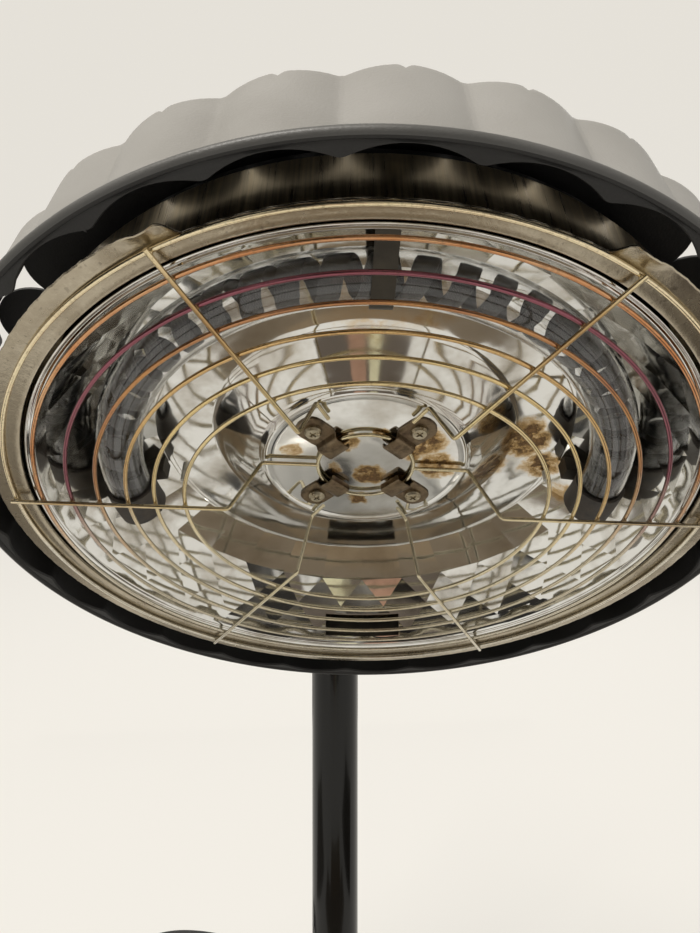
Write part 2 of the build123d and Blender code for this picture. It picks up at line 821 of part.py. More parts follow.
cord_rest = cord_radius + 0.1
cord_points = [
    tuple(gland_end),
    (-75.2, 161.3, 12),
    (-97, 184, 4.6),
    (-136, 199, cord_rest),
    (-172, 200.5, cord_rest),
    (-200, 183, cord_rest),
    (-214, 152, cord_rest),
    (-218.5, 118, 4.6),
]
radii = arc_radii(cord_points)
cord_route = rounded_route(cord_points, radii)
with BuildPart() as cord:
    add(tube_along(cord_route, cord_radius))
save(cord.part, "cord")
print("cord radii", [round(radius, 1) for radius in radii], "run", round(cord_route.length, 1))
print("cord volume ratio", round(cord.part.volume / (pi * cord_radius**2 * cord_route.length), 4))

with BuildPart() as cord_coil:
    with BuildSketch(Plane(origin=(*coil_centre, 0), x_dir=(1, 0, 0), z_dir=(0, -1, 0))):
        with Locations((coil_mean, coil_bottom + coil_height / 2)):
            RectangleRounded(2 * coil_half_width, coil_height, cord_radius)
    revolve(axis=Axis((*coil_centre, 0), (0, 0, 1)))
save(cord_coil.part, "cord_coil")

tie_sheet = 1
tie_width = 2 * coil_half_width + 1.6
tie_height = coil_height + 0.1
with BuildPart() as cord_tie:
    with BuildSketch(Plane(origin=(*coil_centre, 0), x_dir=(0.707, -0.707, 0), z_dir=(-0.707, -0.707, 0))):
        with Locations((coil_mean, coil_bottom + coil_height / 2)):
            RectangleRounded(tie_width + 2 * tie_sheet, tie_height + 2 * tie_sheet, cord_radius + tie_sheet)
            RectangleRounded(tie_width, tie_height, cord_radius, mode=Mode.SUBTRACT)
    extrude(amount=6, both=True)
save(cord_tie.part, "cord_tie")

plug_out = Vector(*polar(1, plug_heading), 0)
tail_points = [(-207.9, 68.8, 12), (-197, 52, 14.5), plug_start]
tail_route = rounded_route(tail_points, arc_radii(tail_points))
with BuildPart() as cord_tail:
    add(tube_along(tail_route, cord_radius))
save(cord_tail.part, "cord_tail")

plug_plane = Plane(origin=plug_start, x_dir=(0, 0, 1), z_dir=plug_out)
relief_length = 22
body_length = 32
with BuildPart() as plug_body:
    with BuildSketch(plug_plane):
        Circle(cord_radius + 1)
    with BuildSketch(plug_plane.offset(relief_length)):
        Circle(8.5)
    loft()
    with BuildSketch(plug_plane.offset(relief_length)):
        Circle(12)
    with BuildSketch(plug_plane.offset(relief_length + 16)):
        Circle(plug_radius)
    loft()
    with BuildSketch(plug_plane.offset(relief_length + 16)):
        Circle(plug_radius)
    extrude(amount=body_length - 16)
save(plug_body.part, "plug_body")

with BuildPart() as plug_pins:
    with BuildSketch(plug_plane.offset(relief_length + body_length - 4)):
        with Locations((0, 9.5), (0, -9.5)):
            Circle(2.4)
    extrude(amount=23)
    tips = plug_pins.faces().sort_by(Axis(plug_start, plug_out))[-2:]
    fillet(tips.edges(), 1.2)
save(plug_pins.part, "plug_pins")
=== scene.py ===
import math
import random

import bmesh
import bpy
from mathutils import Matrix, Vector


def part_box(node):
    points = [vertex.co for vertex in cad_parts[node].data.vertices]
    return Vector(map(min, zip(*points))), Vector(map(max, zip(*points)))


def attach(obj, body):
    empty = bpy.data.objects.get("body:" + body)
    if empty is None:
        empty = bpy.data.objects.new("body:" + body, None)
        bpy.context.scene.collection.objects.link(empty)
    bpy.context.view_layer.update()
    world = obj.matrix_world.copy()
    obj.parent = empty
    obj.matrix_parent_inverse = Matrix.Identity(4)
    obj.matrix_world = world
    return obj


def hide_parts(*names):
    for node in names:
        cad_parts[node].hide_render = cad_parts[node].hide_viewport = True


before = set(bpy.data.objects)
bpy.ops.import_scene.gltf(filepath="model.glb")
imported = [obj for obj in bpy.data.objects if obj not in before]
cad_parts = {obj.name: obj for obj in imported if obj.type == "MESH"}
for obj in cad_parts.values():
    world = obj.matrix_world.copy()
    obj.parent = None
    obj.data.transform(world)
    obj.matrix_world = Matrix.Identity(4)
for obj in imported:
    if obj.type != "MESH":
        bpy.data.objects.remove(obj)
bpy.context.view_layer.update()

mm = 0.001
print("frame loaded:", len(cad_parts), "nodes")

# The head's own axes: x to the right, y away from the raised side, z from the brim to the back.
headPlace = {"tilt": 38.7, "ringDepth": 1.9}
tilt = math.radians(headPlace["tilt"])
headBack = Vector((0, math.sin(tilt), math.cos(tilt)))
headRight = Vector((1, 0, 0))
headFar = headBack.cross(headRight)
ringLow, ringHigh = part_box("guard_rings")
headCentre = (ringLow + ringHigh) / 2 - headBack * headPlace["ringDepth"] * mm
headMatrix = Matrix((headRight, headFar, headBack)).transposed().to_4x4()
headMatrix.translation = headCentre

cameraSettings = {"back": 361.7, "above": 22.86, "left": 7.81, "lens": 29.09}
cameraData = bpy.data.cameras.new("camera")
cameraData.lens = cameraSettings["lens"]
camera = bpy.data.objects.new("camera", cameraData)
bpy.context.scene.collection.objects.link(camera)
cameraShift = Vector((-cameraSettings["left"], -cameraSettings["back"], cameraSettings["above"]))
camera.location = headCentre + cameraShift * mm
camera.rotation_euler = (math.radians(90), 0, 0)
bpy.context.scene.camera = camera


def makeObject(name, verts, faces, smoothAngle=35, materials=(), faceMaterials=None):
    mesh = bpy.data.meshes.new(name)
    mesh.from_pydata(verts, [], faces)
    shell = bmesh.new()
    shell.from_mesh(mesh)
    if shell.calc_volume(signed=True) < 0 and all(edge.is_manifold for edge in shell.edges):
        mesh.flip_normals()
    shell.free()
    for material in materials:
        mesh.materials.append(material)
    mesh.polygons.foreach_set("use_smooth", [True] * len(mesh.polygons))
    if faceMaterials:
        mesh.polygons.foreach_set("material_index", faceMaterials)
    mesh.set_sharp_from_angle(angle=math.radians(smoothAngle))
    mesh.update()
    piece = bpy.data.objects.new(name, mesh)
    bpy.context.scene.collection.objects.link(piece)
    return piece


def joinParts(parts):
    # Lists of (verts, faces) become one list of each.
    verts = []
    faces = []
    for partVerts, partFaces in parts:
        start = len(verts)
        verts.extend(partVerts)
        faces.extend([tuple(i + start for i in face) for face in partFaces])
    return verts, faces


def gridFaces(rows, columns, closeRows, closeColumns):
    # Quads over a grid kept row by row.
    faces = []
    for i in range(rows if closeRows else rows - 1):
        for j in range(columns if closeColumns else columns - 1):
            nextRow = (i + 1) % rows
            nextColumn = (j + 1) % columns
            first = i * columns
            second = nextRow * columns
            faces.append((first + j, first + nextColumn, second + nextColumn, second + j))
    return faces


def endFaces(rows, columns):
    # The two faces that close a tube of rows.
    last = (rows - 1) * columns
    return [tuple(reversed(range(columns))), tuple(last + k for k in range(columns))]


def turned(faces):
    # The same faces, looking the other way.
    return [tuple(reversed(face)) for face in faces]


def aroundAxis(angle, radius, sideways, depth):
    # A point in metres, from millimetres out from the z axis, across that direction, and along the axis.
    cosine = math.cos(angle)
    sine = math.sin(angle)
    return ((radius * cosine - sideways * sine) * mm, (radius * sine + sideways * cosine) * mm, depth * mm)


def lathe(profile, steps=192, closed=True):
    # Turns a profile of (radius, depth), in millimetres, about the z axis.
    turns = [2 * math.pi * j / steps for j in range(steps)]
    verts = [aroundAxis(turn, radius, 0, depth) for radius, depth in profile for turn in turns]
    return verts, gridFaces(len(profile), steps, closed, True)


def roundProfile(radius, depth, size, sides):
    turns = [2 * math.pi * i / sides for i in range(sides)]
    return [(radius + size * math.cos(turn), depth + size * math.sin(turn)) for turn in turns]


def neighbours(points, i):
    return points[max(i - 1, 0)], points[min(i + 1, len(points) - 1)]


def stripAlong(path, section, sheet, angle, centre=(0, 0)):
    # A bent strip. The path holds (radius, depth, half width), the section (side, lift) round its edge.
    verts = []
    for i, (radius, depth, half) in enumerate(path):
        before, after = neighbours(path, i)
        along = Vector((after[0] - before[0], after[1] - before[1])).normalized()
        normal = Vector((-along.y, along.x)) * sheet / 2
        for side, lift in section:
            x, y, z = aroundAxis(angle, radius + normal.x * lift, side * half, depth + normal.y * lift)
            verts.append((x + centre[0] * mm, y + centre[1] * mm, z))
    return verts, gridFaces(len(path), len(section), False, True) + endFaces(len(path), len(section))


def tubeAlong(points, radius, sides=12):
    # A round tube of this radius, in metres, along a list of points.
    points = [Vector(point) for point in points]
    verts = []
    normal = None
    for i, point in enumerate(points):
        before, after = neighbours(points, i)
        along = (after - before).normalized()
        if normal is None:
            normal = along.orthogonal().normalized()
        normal = (normal - along * normal.dot(along)).normalized()
        side = along.cross(normal)
        for k in range(sides):
            angle = 2 * math.pi * k / sides
            verts.append(tuple(point + (normal * math.cos(angle) + side * math.sin(angle)) * radius))
    return verts, gridFaces(len(points), sides, False, True) + endFaces(len(points), sides)


def roundCorners(corners, radius, steps=6):
    # Points along straight runs with each corner rounded.
    corners = [Vector(corner) for corner in corners]
    points = [corners[0]]
    for before, corner, after in zip(corners, corners[1:], corners[2:]):
        inward = (before - corner).normalized()
        outward = (after - corner).normalized()
        half = inward.angle(outward) / 2
        room = 0.45 * min((before - corner).length, (after - corner).length)
        reach = min(radius / math.tan(half), room)
        first = corner + inward * reach
        last = corner + outward * reach
        for k in range(steps + 1):
            t = k / steps
            points.append(first * (1 - t) ** 2 + corner * 2 * t * (1 - t) + last * t**2)
    points.append(corners[-1])
    return points


def onHead(piece, slotName, *nodes):
    piece.matrix_world = headMatrix
    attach(piece, "head")
    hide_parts(*nodes)
    return piece


def onStand(piece, slotName, *nodes):
    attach(piece, "stand")
    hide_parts(*nodes)
    return piece


def newMaterial(name, color, roughness, metallic=0.0, extra=None):
    material = bpy.data.materials.new(name)
    material.use_nodes = True
    shader = material.node_tree.nodes["Principled BSDF"]
    shader.inputs["Base Color"].default_value = (*color, 1)
    shader.inputs["Roughness"].default_value = roughness
    shader.inputs["Metallic"].default_value = metallic
    for socket, value in (extra or {}).items():
        shader.inputs[socket].default_value = value
    return material, material.node_tree, shader


def addNode(tree, kind, **settings):
    node = tree.nodes.new(kind)
    for key, value in settings.items():
        setattr(node, key, value)
    return node


def objectPlace(tree, stretch=(1, 1, 1)):
    place = addNode(tree, "ShaderNodeTexCoord")
    mapping = addNode(tree, "ShaderNodeMapping")
    mapping.inputs["Scale"].default_value = stretch
    tree.links.new(place.outputs["Object"], mapping.inputs["Vector"])
    return mapping.outputs["Vector"]


def feed(node, socketName, value):
    node.id_data.links.new(value, node.inputs[socketName])


def noise(place, scale, detail=3.0, roughness=0.5):
    node = addNode(place.id_data, "ShaderNodeTexNoise")
    node.inputs["Scale"].default_value = scale
    node.inputs["Detail"].default_value = detail
    node.inputs["Roughness"].default_value = roughness
    feed(node, "Vector", place)
    return node.outputs["Fac"]


def ramp(value, stops):
    # stops are (place, color) or (place, level).
    node = addNode(value.id_data, "ShaderNodeValToRGB")
    elements = node.color_ramp.elements
    while len(elements) < len(stops):
        elements.new(0.5)
    for element, (place, shade) in zip(elements, stops):
        element.position = place
        element.color = (*shade, 1) if isinstance(shade, tuple) else (shade, shade, shade, 1)
    feed(node, "Fac", value)
    return node.outputs["Color"]


def calculate(operation, first, second=0.0):
    # first is a socket, second a socket or a number.
    node = addNode(first.id_data, "ShaderNodeMath", operation=operation)
    for socket, value in zip(node.inputs, (first, second)):
        if isinstance(value, (int, float)):
            socket.default_value = value
        else:
            first.id_data.links.new(value, socket)
    return node.outputs["Value"]


def times(first, second):
    return calculate("MULTIPLY", first, second)


def plus(first, second):
    return calculate("ADD", first, second)


def fade(value, start, end, low=0.0, high=1.0):
    # From low to high while the value goes from start to end.
    return ramp(value, [(start, low), (end, high)])


def mixColor(amount, first, second):
    # amount is a socket, the colors are sockets or tuples.
    tree = amount.id_data
    node = addNode(tree, "ShaderNodeMix", data_type="RGBA")
    tree.links.new(amount, node.inputs[0])
    for index, color in ((6, first), (7, second)):
        if isinstance(color, tuple):
            node.inputs[index].default_value = (*color, 1)
        else:
            tree.links.new(color, node.inputs[index])
    return node.outputs[2]


def addBump(shader, height, strength, distance):
    bump = addNode(shader.id_data, "ShaderNodeBump")
    bump.inputs["Strength"].default_value = strength
    bump.inputs["Distance"].default_value = distance
    feed(bump, "Height", height)
    feed(shader, "Normal", bump.outputs["Normal"])


def radiusFromAxis(place):
    # Distance from the object's z axis, and the place's separate axes.
    split = addNode(place.id_data, "ShaderNodeSeparateXYZ")
    feed(split, "Vector", place)
    squares = [calculate("POWER", split.outputs[axis], 2.0) for axis in ("X", "Y")]
    return calculate("SQRT", plus(*squares)), split


# first color, second color, gloss from and to, metal, size of the clouding, grain's fineness and strength
finishes = {
    "shadeGrey": ((0.235, 0.225, 0.205), (0.285, 0.275, 0.255), (0.42, 0.58), 0.0, 14, (900, 0.35)),
    # A darker copy of the shade's grey: painted shade on the bead's outward, lower half.
    "beadPaintedShade": ((0.072, 0.070, 0.064), (0.100, 0.097, 0.090), (0.42, 0.58), 0.0, 14, (900, 0.35)),
    "shadeBlack": ((0.006, 0.006, 0.006), (0.012, 0.011, 0.010), (0.5, 0.7), 0.0, 25, (900, 0.3)),
    "satinBlack": ((0.018, 0.018, 0.018), (0.028, 0.027, 0.026), (0.35, 0.5), 0.0, 20, (1100, 0.25)),
    "glossBlack": ((0.003, 0.003, 0.003), (0.006, 0.006, 0.005), (0.14, 0.2), 0.0, 8, (260, 0.05)),
    "stainless": ((0.60, 0.59, 0.56), (0.70, 0.69, 0.66), (0.36, 0.44), 1.0, 30, (500, 0.12)),
    "zinc": ((0.55, 0.55, 0.53), (0.68, 0.67, 0.63), (0.28, 0.42), 1.0, 90, (700, 0.2)),
    "screwSteel": ((0.34, 0.29, 0.20), (0.50, 0.45, 0.34), (0.22, 0.4), 1.0, 300, (1500, 0.2)),
    "stripSteel": ((0.045, 0.040, 0.032), (0.075, 0.066, 0.050), (0.4, 0.6), 0.6, 90, (900, 0.3)),
    "castIron": ((0.10, 0.10, 0.10), (0.15, 0.145, 0.14), (0.6, 0.8), 0.0, 60, (350, 0.6)),
    "brass": ((0.62, 0.46, 0.20), (0.74, 0.57, 0.28), (0.2, 0.35), 1.0, 120, (900, 0.15)),
    "ceramic": ((0.66, 0.62, 0.54), (0.76, 0.73, 0.66), (0.55, 0.75), 0.0, 60, (1100, 0.3)),
    "darkCeramic": ((0.035, 0.030, 0.026), (0.085, 0.070, 0.055), (0.45, 0.65), 0.0, 120, (900, 0.4)),
    "sleeving": ((0.60, 0.57, 0.48), (0.74, 0.71, 0.62), (0.7, 0.9), 0.0, 400, (2200, 0.6)),
    "fibre": ((0.05, 0.05, 0.05), (0.10, 0.095, 0.09), (0.7, 0.85), 0.0, 300, (1600, 0.5)),
    "nylon": ((0.016, 0.016, 0.016), (0.026, 0.025, 0.024), (0.42, 0.55), 0.0, 60, (1400, 0.4)),
    "acetal": ((0.74, 0.73, 0.70), (0.80, 0.79, 0.76), (0.3, 0.42), 0.0, 60, (900, 0.08)),
    "rubber": ((0.014, 0.014, 0.014), (0.026, 0.025, 0.024), (0.6, 0.78), 0.0, 80, (1300, 0.35)),
    "strap": ((0.012, 0.012, 0.012), (0.030, 0.029, 0.028), (0.8, 0.95), 0.0, 900, (1800, 0.8)),
    "nickel": ((0.70, 0.67, 0.60), (0.80, 0.77, 0.70), (0.12, 0.22), 1.0, 150, (700, 0.08)),
}
finishExtras = {
    "glossBlack": {"Coat Weight": 0.2, "Coat Roughness": 0.05, "Specular IOR Level": 0.22},
    "strap": {"Sheen Weight": 0.3},
}
finishStretch = {"stainless": (1, 1, 12)}
grainHeight = 0.0004


def plainFinish(name):
    # Two mixed colors, uneven gloss and a fine grain, for the simpler pieces.
    first, second, gloss, metal, cloudScale, grain = finishes[name]
    material, tree, shader = newMaterial(name, first, gloss[0], metal, finishExtras.get(name))
    place = objectPlace(tree, finishStretch.get(name, (1, 1, 1)))
    cloud = noise(place, cloudScale, 4.0)
    feed(shader, "Base Color", mixColor(fade(cloud, 0.35, 0.65), first, second))
    feed(shader, "Roughness", fade(cloud, 0.3, 0.7, *gloss))
    addBump(shader, noise(place, grain[0], 2.0), grain[1], grainHeight)
    return material


finish = {name: plainFinish(name) for name in finishes}
print("plain finishes made:", len(finish))

# Shares of the reach, measured from the hub, and the colors there.
wireTints = {
    "reach": 172,
    "hot": [
        (0.0, (0.62, 0.56, 0.38)), (0.46, (0.72, 0.60, 0.36)), (0.60, (0.70, 0.54, 0.27)),
        (0.72, (0.50, 0.27, 0.11)), (0.79, (0.24, 0.09, 0.11)), (0.83, (0.27, 0.10, 0.13)),
        (0.875, (0.54, 0.24, 0.10)), (0.96, (0.80, 0.69, 0.47)),
    ],
    "spoke": [
        (0.0, (0.62, 0.56, 0.38)), (0.5, (0.66, 0.54, 0.30)), (0.75, (0.44, 0.29, 0.14)),
        (0.86, (0.48, 0.33, 0.16)), (0.96, (0.72, 0.60, 0.38)),
    ],
    "cool": [
        (0.0, (0.62, 0.57, 0.42)), (0.50, (0.70, 0.63, 0.45)), (0.80, (0.60, 0.55, 0.43)),
        (0.96, (0.72, 0.68, 0.58)),
    ],
    "soot": (0.10, 0.075, 0.05),
    "gloss": (0.10, 0.24),
}


def guardFinish(name, tints):
    # Heat tints that follow the distance from the hub and cool off towards the far side.
    material, tree, shader = newMaterial(name, (0.6, 0.5, 0.3), 0.2, 1.0)
    place = objectPlace(tree)
    radius, split = radiusFromAxis(place)
    wobble = times(calculate("SUBTRACT", noise(place, 40), 0.5), 0.012)
    share = calculate("DIVIDE", plus(radius, wobble), wireTints["reach"] * mm)
    hot = ramp(share, tints)
    cool = ramp(share, wireTints["cool"])
    side = plus(times(split.outputs["Y"], 9.0), 0.35)
    side = plus(side, times(calculate("SUBTRACT", noise(place, 22), 0.5), 0.9))
    tinted = mixColor(fade(side, 0.15, 0.75), hot, cool)
    speck = times(fade(noise(place, 700, 2.0), 0.55, 0.68), 0.25)
    feed(shader, "Base Color", mixColor(speck, tinted, wireTints["soot"]))
    feed(shader, "Roughness", fade(noise(place, 260), 0.3, 0.7, *wireTints["gloss"]))
    addBump(shader, noise(place, 1200, 2.0), 0.10, 0.0003)
    return material


drumSettings = {
    "dark": (0.20, 0.165, 0.11),
    "light": (0.66, 0.55, 0.36),
    "patchTone": (0.34, 0.27, 0.17),
    "gloss": (0.24, 0.40),
}


def drumFinish():
    # Fine lines along the drum, as the brushing left them.
    d = drumSettings
    material, tree, shader = newMaterial("brushedDrum", d["light"], 0.3, 1.0, {"Anisotropic": 0.4})
    lines = noise(objectPlace(tree, (1, 1, 0.03)), 420, 3.0, 0.7)
    broad = noise(objectPlace(tree), 16, 2.0)
    color = mixColor(fade(lines, 0.3, 0.7), d["dark"], d["light"])
    # Broad patches of a duller middle tone, mixed in at random.
    feed(shader, "Base Color", mixColor(fade(broad, 0.4, 0.7, 0.0, 0.5), color, d["patchTone"]))
    feed(shader, "Roughness", fade(lines, 0.3, 0.7, *d["gloss"]))
    addBump(shader, lines, 0.25, 0.0002)
    return material


trimSettings = {
    "base": (0.46, 0.41, 0.32),
    "deep": (0.37, 0.32, 0.24),
    "pale": (0.66, 0.60, 0.48),
    "pit": (0.07, 0.05, 0.035),
    "gloss": (0.20, 0.30),
}


def trimFinish():
    # Bronzed sheet with pale specks and small pits.
    t = trimSettings
    material, tree, shader = newMaterial("trimSteel", t["base"], 0.3, 1.0)
    place = objectPlace(tree)
    patches = noise(place, 55, 5.0, 0.6)
    color = mixColor(fade(patches, 0.38, 0.64), t["base"], t["deep"])
    speck = times(fade(noise(place, 620, 2.0), 0.60, 0.70), 0.12)
    color = mixColor(speck, color, t["pale"])
    pit = times(fade(noise(place, 430, 2.0), 0.64, 0.72), 0.28)
    feed(shader, "Base Color", mixColor(pit, color, t["pit"]))
    feed(shader, "Roughness", fade(patches, 0.3, 0.7, *t["gloss"]))
    addBump(shader, noise(place, 500, 3.0), 0.2, 0.0004)
    return material


# right, far, depth, size and strength of each stain on the mirror, in millimetres
mirrorStains = [
    (2, 9, 31, 9, 1.0), (-4, 30, 31, 6, 0.9), (16, 12, 31, 7, 0.8), (-16, 4, 31, 5, 0.6),
    (26, -16, 31, 15, 0.9), (37, 2, 32, 12, 0.8), (8, -22, 31, 5, 0.7), (-10, -17, 31, 8, 0.7),
    (-36, -10, 31, 6, 0.5), (66, 22, 43, 16, 0.9), (84, 2, 50, 17, 0.9), (62, -22, 41, 12, 0.7),
    (96, 24, 50, 12, 0.8), (4, -90, 50, 30, 0.26), (30, -84, 50, 15, 0.3), (-66, 30, 43, 8, 0.4),
    (112, 44, 47, 10, 0.5),
]
mirrorSettings = {
    "silver": (0.72, 0.72, 0.70),
    "smoke": (0.44, 0.41, 0.355),
    "straw": (0.62, 0.50, 0.34),
    "amber": (0.40, 0.26, 0.11),
    "burn": (0.11, 0.065, 0.035),
    "rust": (0.30, 0.18, 0.08),
    "ragged": (0.012, 0.012, 0.004),
}


def stainAmount(place):
    # How much stain lies at this place, with ragged edges.
    m = mirrorSettings
    tree = place.id_data
    ragged = addNode(tree, "ShaderNodeTexNoise")
    ragged.inputs["Scale"].default_value = 110
    ragged.inputs["Detail"].default_value = 4
    feed(ragged, "Vector", place)
    shift = addNode(tree, "ShaderNodeVectorMath", operation="MULTIPLY_ADD")
    shift.inputs[1].default_value = m["ragged"]
    tree.links.new(ragged.outputs["Color"], shift.inputs[0])
    tree.links.new(place, shift.inputs[2])
    middle = Vector(m["ragged"]) / 2
    amount = None
    for right, far, depth, size, strength in mirrorStains:
        away = addNode(tree, "ShaderNodeVectorMath", operation="DISTANCE")
        away.inputs[1].default_value = Vector((right, far, depth)) * mm + middle
        tree.links.new(shift.outputs["Vector"], away.inputs[0])
        spot = addNode(tree, "ShaderNodeMapRange", interpolation_type="SMOOTHSTEP")
        spot.inputs["From Min"].default_value = size * mm * 1.15
        spot.inputs["From Max"].default_value = size * mm * 0.45
        spot.inputs["To Max"].default_value = strength
        feed(spot, "Value", away.outputs["Value"])
        result = spot.outputs["Result"]
        amount = result if amount is None else calculate("MAXIMUM", amount, result)
    return amount


def mirrorFinish():
    # Polished sheet, a little hazed, with amber stains that have a burnt edge.
    m = mirrorSettings
    material, tree, shader = newMaterial("mirrorSheet", m["silver"], 0.06, 1.0)
    place = objectPlace(tree)
    haze = noise(place, 26, 4.0, 0.6)
    color = mixColor(fade(haze, 0.45, 0.70), m["silver"], m["smoke"])
    patchy = fade(noise(place, 190, 4.0, 0.7), 0.32, 0.62, 0.35, 1.0)
    mottled = times(stainAmount(place), patchy)
    stainStops = [(0.0, "silver"), (0.25, "straw"), (0.5, "amber"), (0.72, "burn"), (0.95, "rust")]
    stain = ramp(mottled, [(stop, m[name]) for stop, name in stainStops])
    feed(shader, "Base Color", mixColor(fade(mottled, 0.05, 0.3), color, stain))
    dull = plus(fade(haze, 0.35, 0.7, 0.035, 0.13), times(mottled, 0.35))
    feed(shader, "Roughness", dull)
    addBump(shader, noise(place, 46, 2.0), 0.10, 0.0012)
    return material


def quartzFinish():
    glass = {"Transmission Weight": 1.0, "IOR": 1.46}
    material, tree, shader = newMaterial("quartz", (0.98, 0.985, 0.99), 0.015, 0.0, glass)
    smear = noise(objectPlace(tree), 70, 3.0)
    feed(shader, "Roughness", fade(smear, 0.45, 0.75, 0.01, 0.07))
    return material


ribbonSettings = {"dark": (0.012, 0.012, 0.012), "light": (0.060, 0.056, 0.052), "weave": 450, "slant": 0.7}


def ribbonFinish():
    # Two sets of crossing strands.
    r = ribbonSettings
    material, tree, shader = newMaterial("carbonRibbon", r["dark"], 0.5, 0.0, {"Sheen Weight": 0.15})
    place = objectPlace(tree)
    heights = []
    for turn in (r["slant"], -r["slant"]):
        wave = addNode(tree, "ShaderNodeTexWave", wave_type="BANDS", bands_direction="X")
        wave.inputs["Scale"].default_value = r["weave"]
        wave.inputs["Distortion"].default_value = 1.2
        spin = addNode(tree, "ShaderNodeMapping")
        spin.inputs["Rotation"].default_value = (turn, 0.4, turn)
        feed(spin, "Vector", place)
        feed(wave, "Vector", spin.outputs["Vector"])
        heights.append(wave.outputs["Fac"])
    weave = times(*heights)
    feed(shader, "Base Color", mixColor(weave, r["dark"], r["light"]))
    feed(shader, "Roughness", fade(weave, 0.2, 0.8, 0.38, 0.62))
    addBump(shader, weave, 0.5, 0.0003)
    return material


clipTints = [(0.3, (0.055, 0.042, 0.030)), (0.52, (0.20, 0.15, 0.095)), (0.72, (0.10, 0.07, 0.05))]


def clipFinish():
    # Spring steel browned by the heat.
    material, tree, shader = newMaterial("clipSteel", (0.12, 0.09, 0.06), 0.35, 1.0)
    place = objectPlace(tree)
    patches = noise(place, 150, 4.0, 0.6)
    feed(shader, "Base Color", ramp(patches, clipTints))
    feed(shader, "Roughness", fade(patches, 0.3, 0.7, 0.28, 0.5))
    addBump(shader, noise(place, 800, 2.0), 0.2, 0.0003)
    return material


finish["guardWire"] = guardFinish("guardWire", wireTints["hot"])
finish["spokeWire"] = guardFinish("spokeWire", wireTints["spoke"])
finish["brushedDrum"] = drumFinish()
finish["trimSteel"] = trimFinish()
finish["mirrorSheet"] = mirrorFinish()
finish["quartz"] = quartzFinish()
finish["carbonRibbon"] = ribbonFinish()
finish["clipSteel"] = clipFinish()
print("special finishes made")

cordSettings = {
    "diameter": 7.5,
    "centre": (-165, 100),
    "turns": 5,
    "perTurn": 16,
    "inner": 35.5,
    "outer": 53.0,
    "lowTurn": 4.9,
    "highTurn": 12.2,
}
# Places in millimetres: from the gland to the coil, and from the coil to the plug.
cordRoute = [
    (-64.24, 137.76, 12),
    (-75.2, 161.3, 12),
    (-97, 184, 4.6),
    (-136, 199, 3.85),
    (-172, 200.5, 3.85),
    (-200, 183, 3.85),
    (-214, 152, 3.85),
    (-218.5, 118, 4.6),
]
cordTail = [(-212, 76, 12.2), (-197, 52, 14.5), (-185, 36, 18.6)]


def coilPoints():
    # In on the lower layer, up, and out again on the upper one.
    c = cordSettings
    points = []
    steps = c["turns"] * c["perTurn"]
    for k in range(steps):
        share = k / steps
        angle = math.pi + 2 * math.pi * k / c["perTurn"]
        radius = c["inner"] + (c["outer"] - c["inner"]) * abs(1 - 2 * share)
        rise = min(max((share - 0.46) / 0.08, 0), 1)
        height = c["lowTurn"] + (c["highTurn"] - c["lowTurn"]) * rise
        right = c["centre"][0] + radius * math.cos(angle)
        away = c["centre"][1] + radius * math.sin(angle)
        points.append((right, away, height))
    return points


tieShape = {
    "middle": 44.0,
    "turn": -45.0,
    "inner": (27.6, 15.1),
    "low": 1.1,
    "sheet": 0.9,
    "width": 12.0,
    "corner": 5.0,
    "flap": 17.0,
}
# side and lift round the band's edge, thicker outward and softly crowned
tieSection = [
    (-1, -0.66), (-0.94, -1.2), (0, -1.344), (0.94, -1.2), (1, -0.66),
    (1, 0), (0.94, 0.36), (0, 0.36), (-0.94, 0.36), (-1, 0),
]


def makeTie():
    # A hook and loop band round the coil, its free end lapped over the top.
    t = tieShape
    side = t["inner"][0] / 2
    low = t["low"]
    top = low + t["inner"][1]
    seam = -2
    corners = [(seam, low), (side, low), (side, top), (-side, top), (-side, low), (seam, low)]
    loop = [(point.x, point.z) for point in roundCorners([(x, 0, z) for x, z in corners], t["corner"], 8)]
    lap = [(side - t["corner"] - 1, top + 1.0), (4, top + 1.0), (-3, top + 1.05), (6 - t["flap"], top + 1.3)]
    turn = math.radians(t["turn"])
    parts = []
    for outline in (loop, lap):
        path = [(t["middle"] + x, z, t["width"] / 2) for x, z in outline]
        parts.append(stripAlong(path, tieSection, t["sheet"], turn, cordSettings["centre"]))
    piece = makeObject("coil_tie_band", *joinParts(parts), 50, [finish["strap"]])
    return onStand(piece, "tie_fabric", "cord_tie")


coilTie = makeTie()
print("tie made")


def makeCord():
    points = cordRoute + coilPoints() + cordTail
    curve = bpy.data.curves.new("mains_cord", "CURVE")
    curve.dimensions = "3D"
    curve.bevel_depth = cordSettings["diameter"] / 2 * mm
    curve.bevel_resolution = 5
    curve.resolution_u = 8
    spline = curve.splines.new("NURBS")
    spline.points.add(len(points) - 1)
    for target, point in zip(spline.points, points):
        target.co = (*[value * mm for value in point], 1)
    spline.order_u = 3
    spline.use_endpoint_u = True
    curve.materials.append(finish["rubber"])
    piece = bpy.data.objects.new("mains_cord", curve)
    bpy.context.scene.collection.objects.link(piece)
    return onStand(piece, "cord_rubber", "cord", "cord_coil", "cord_tail")


mainsCord = makeCord()
print("cord laid")

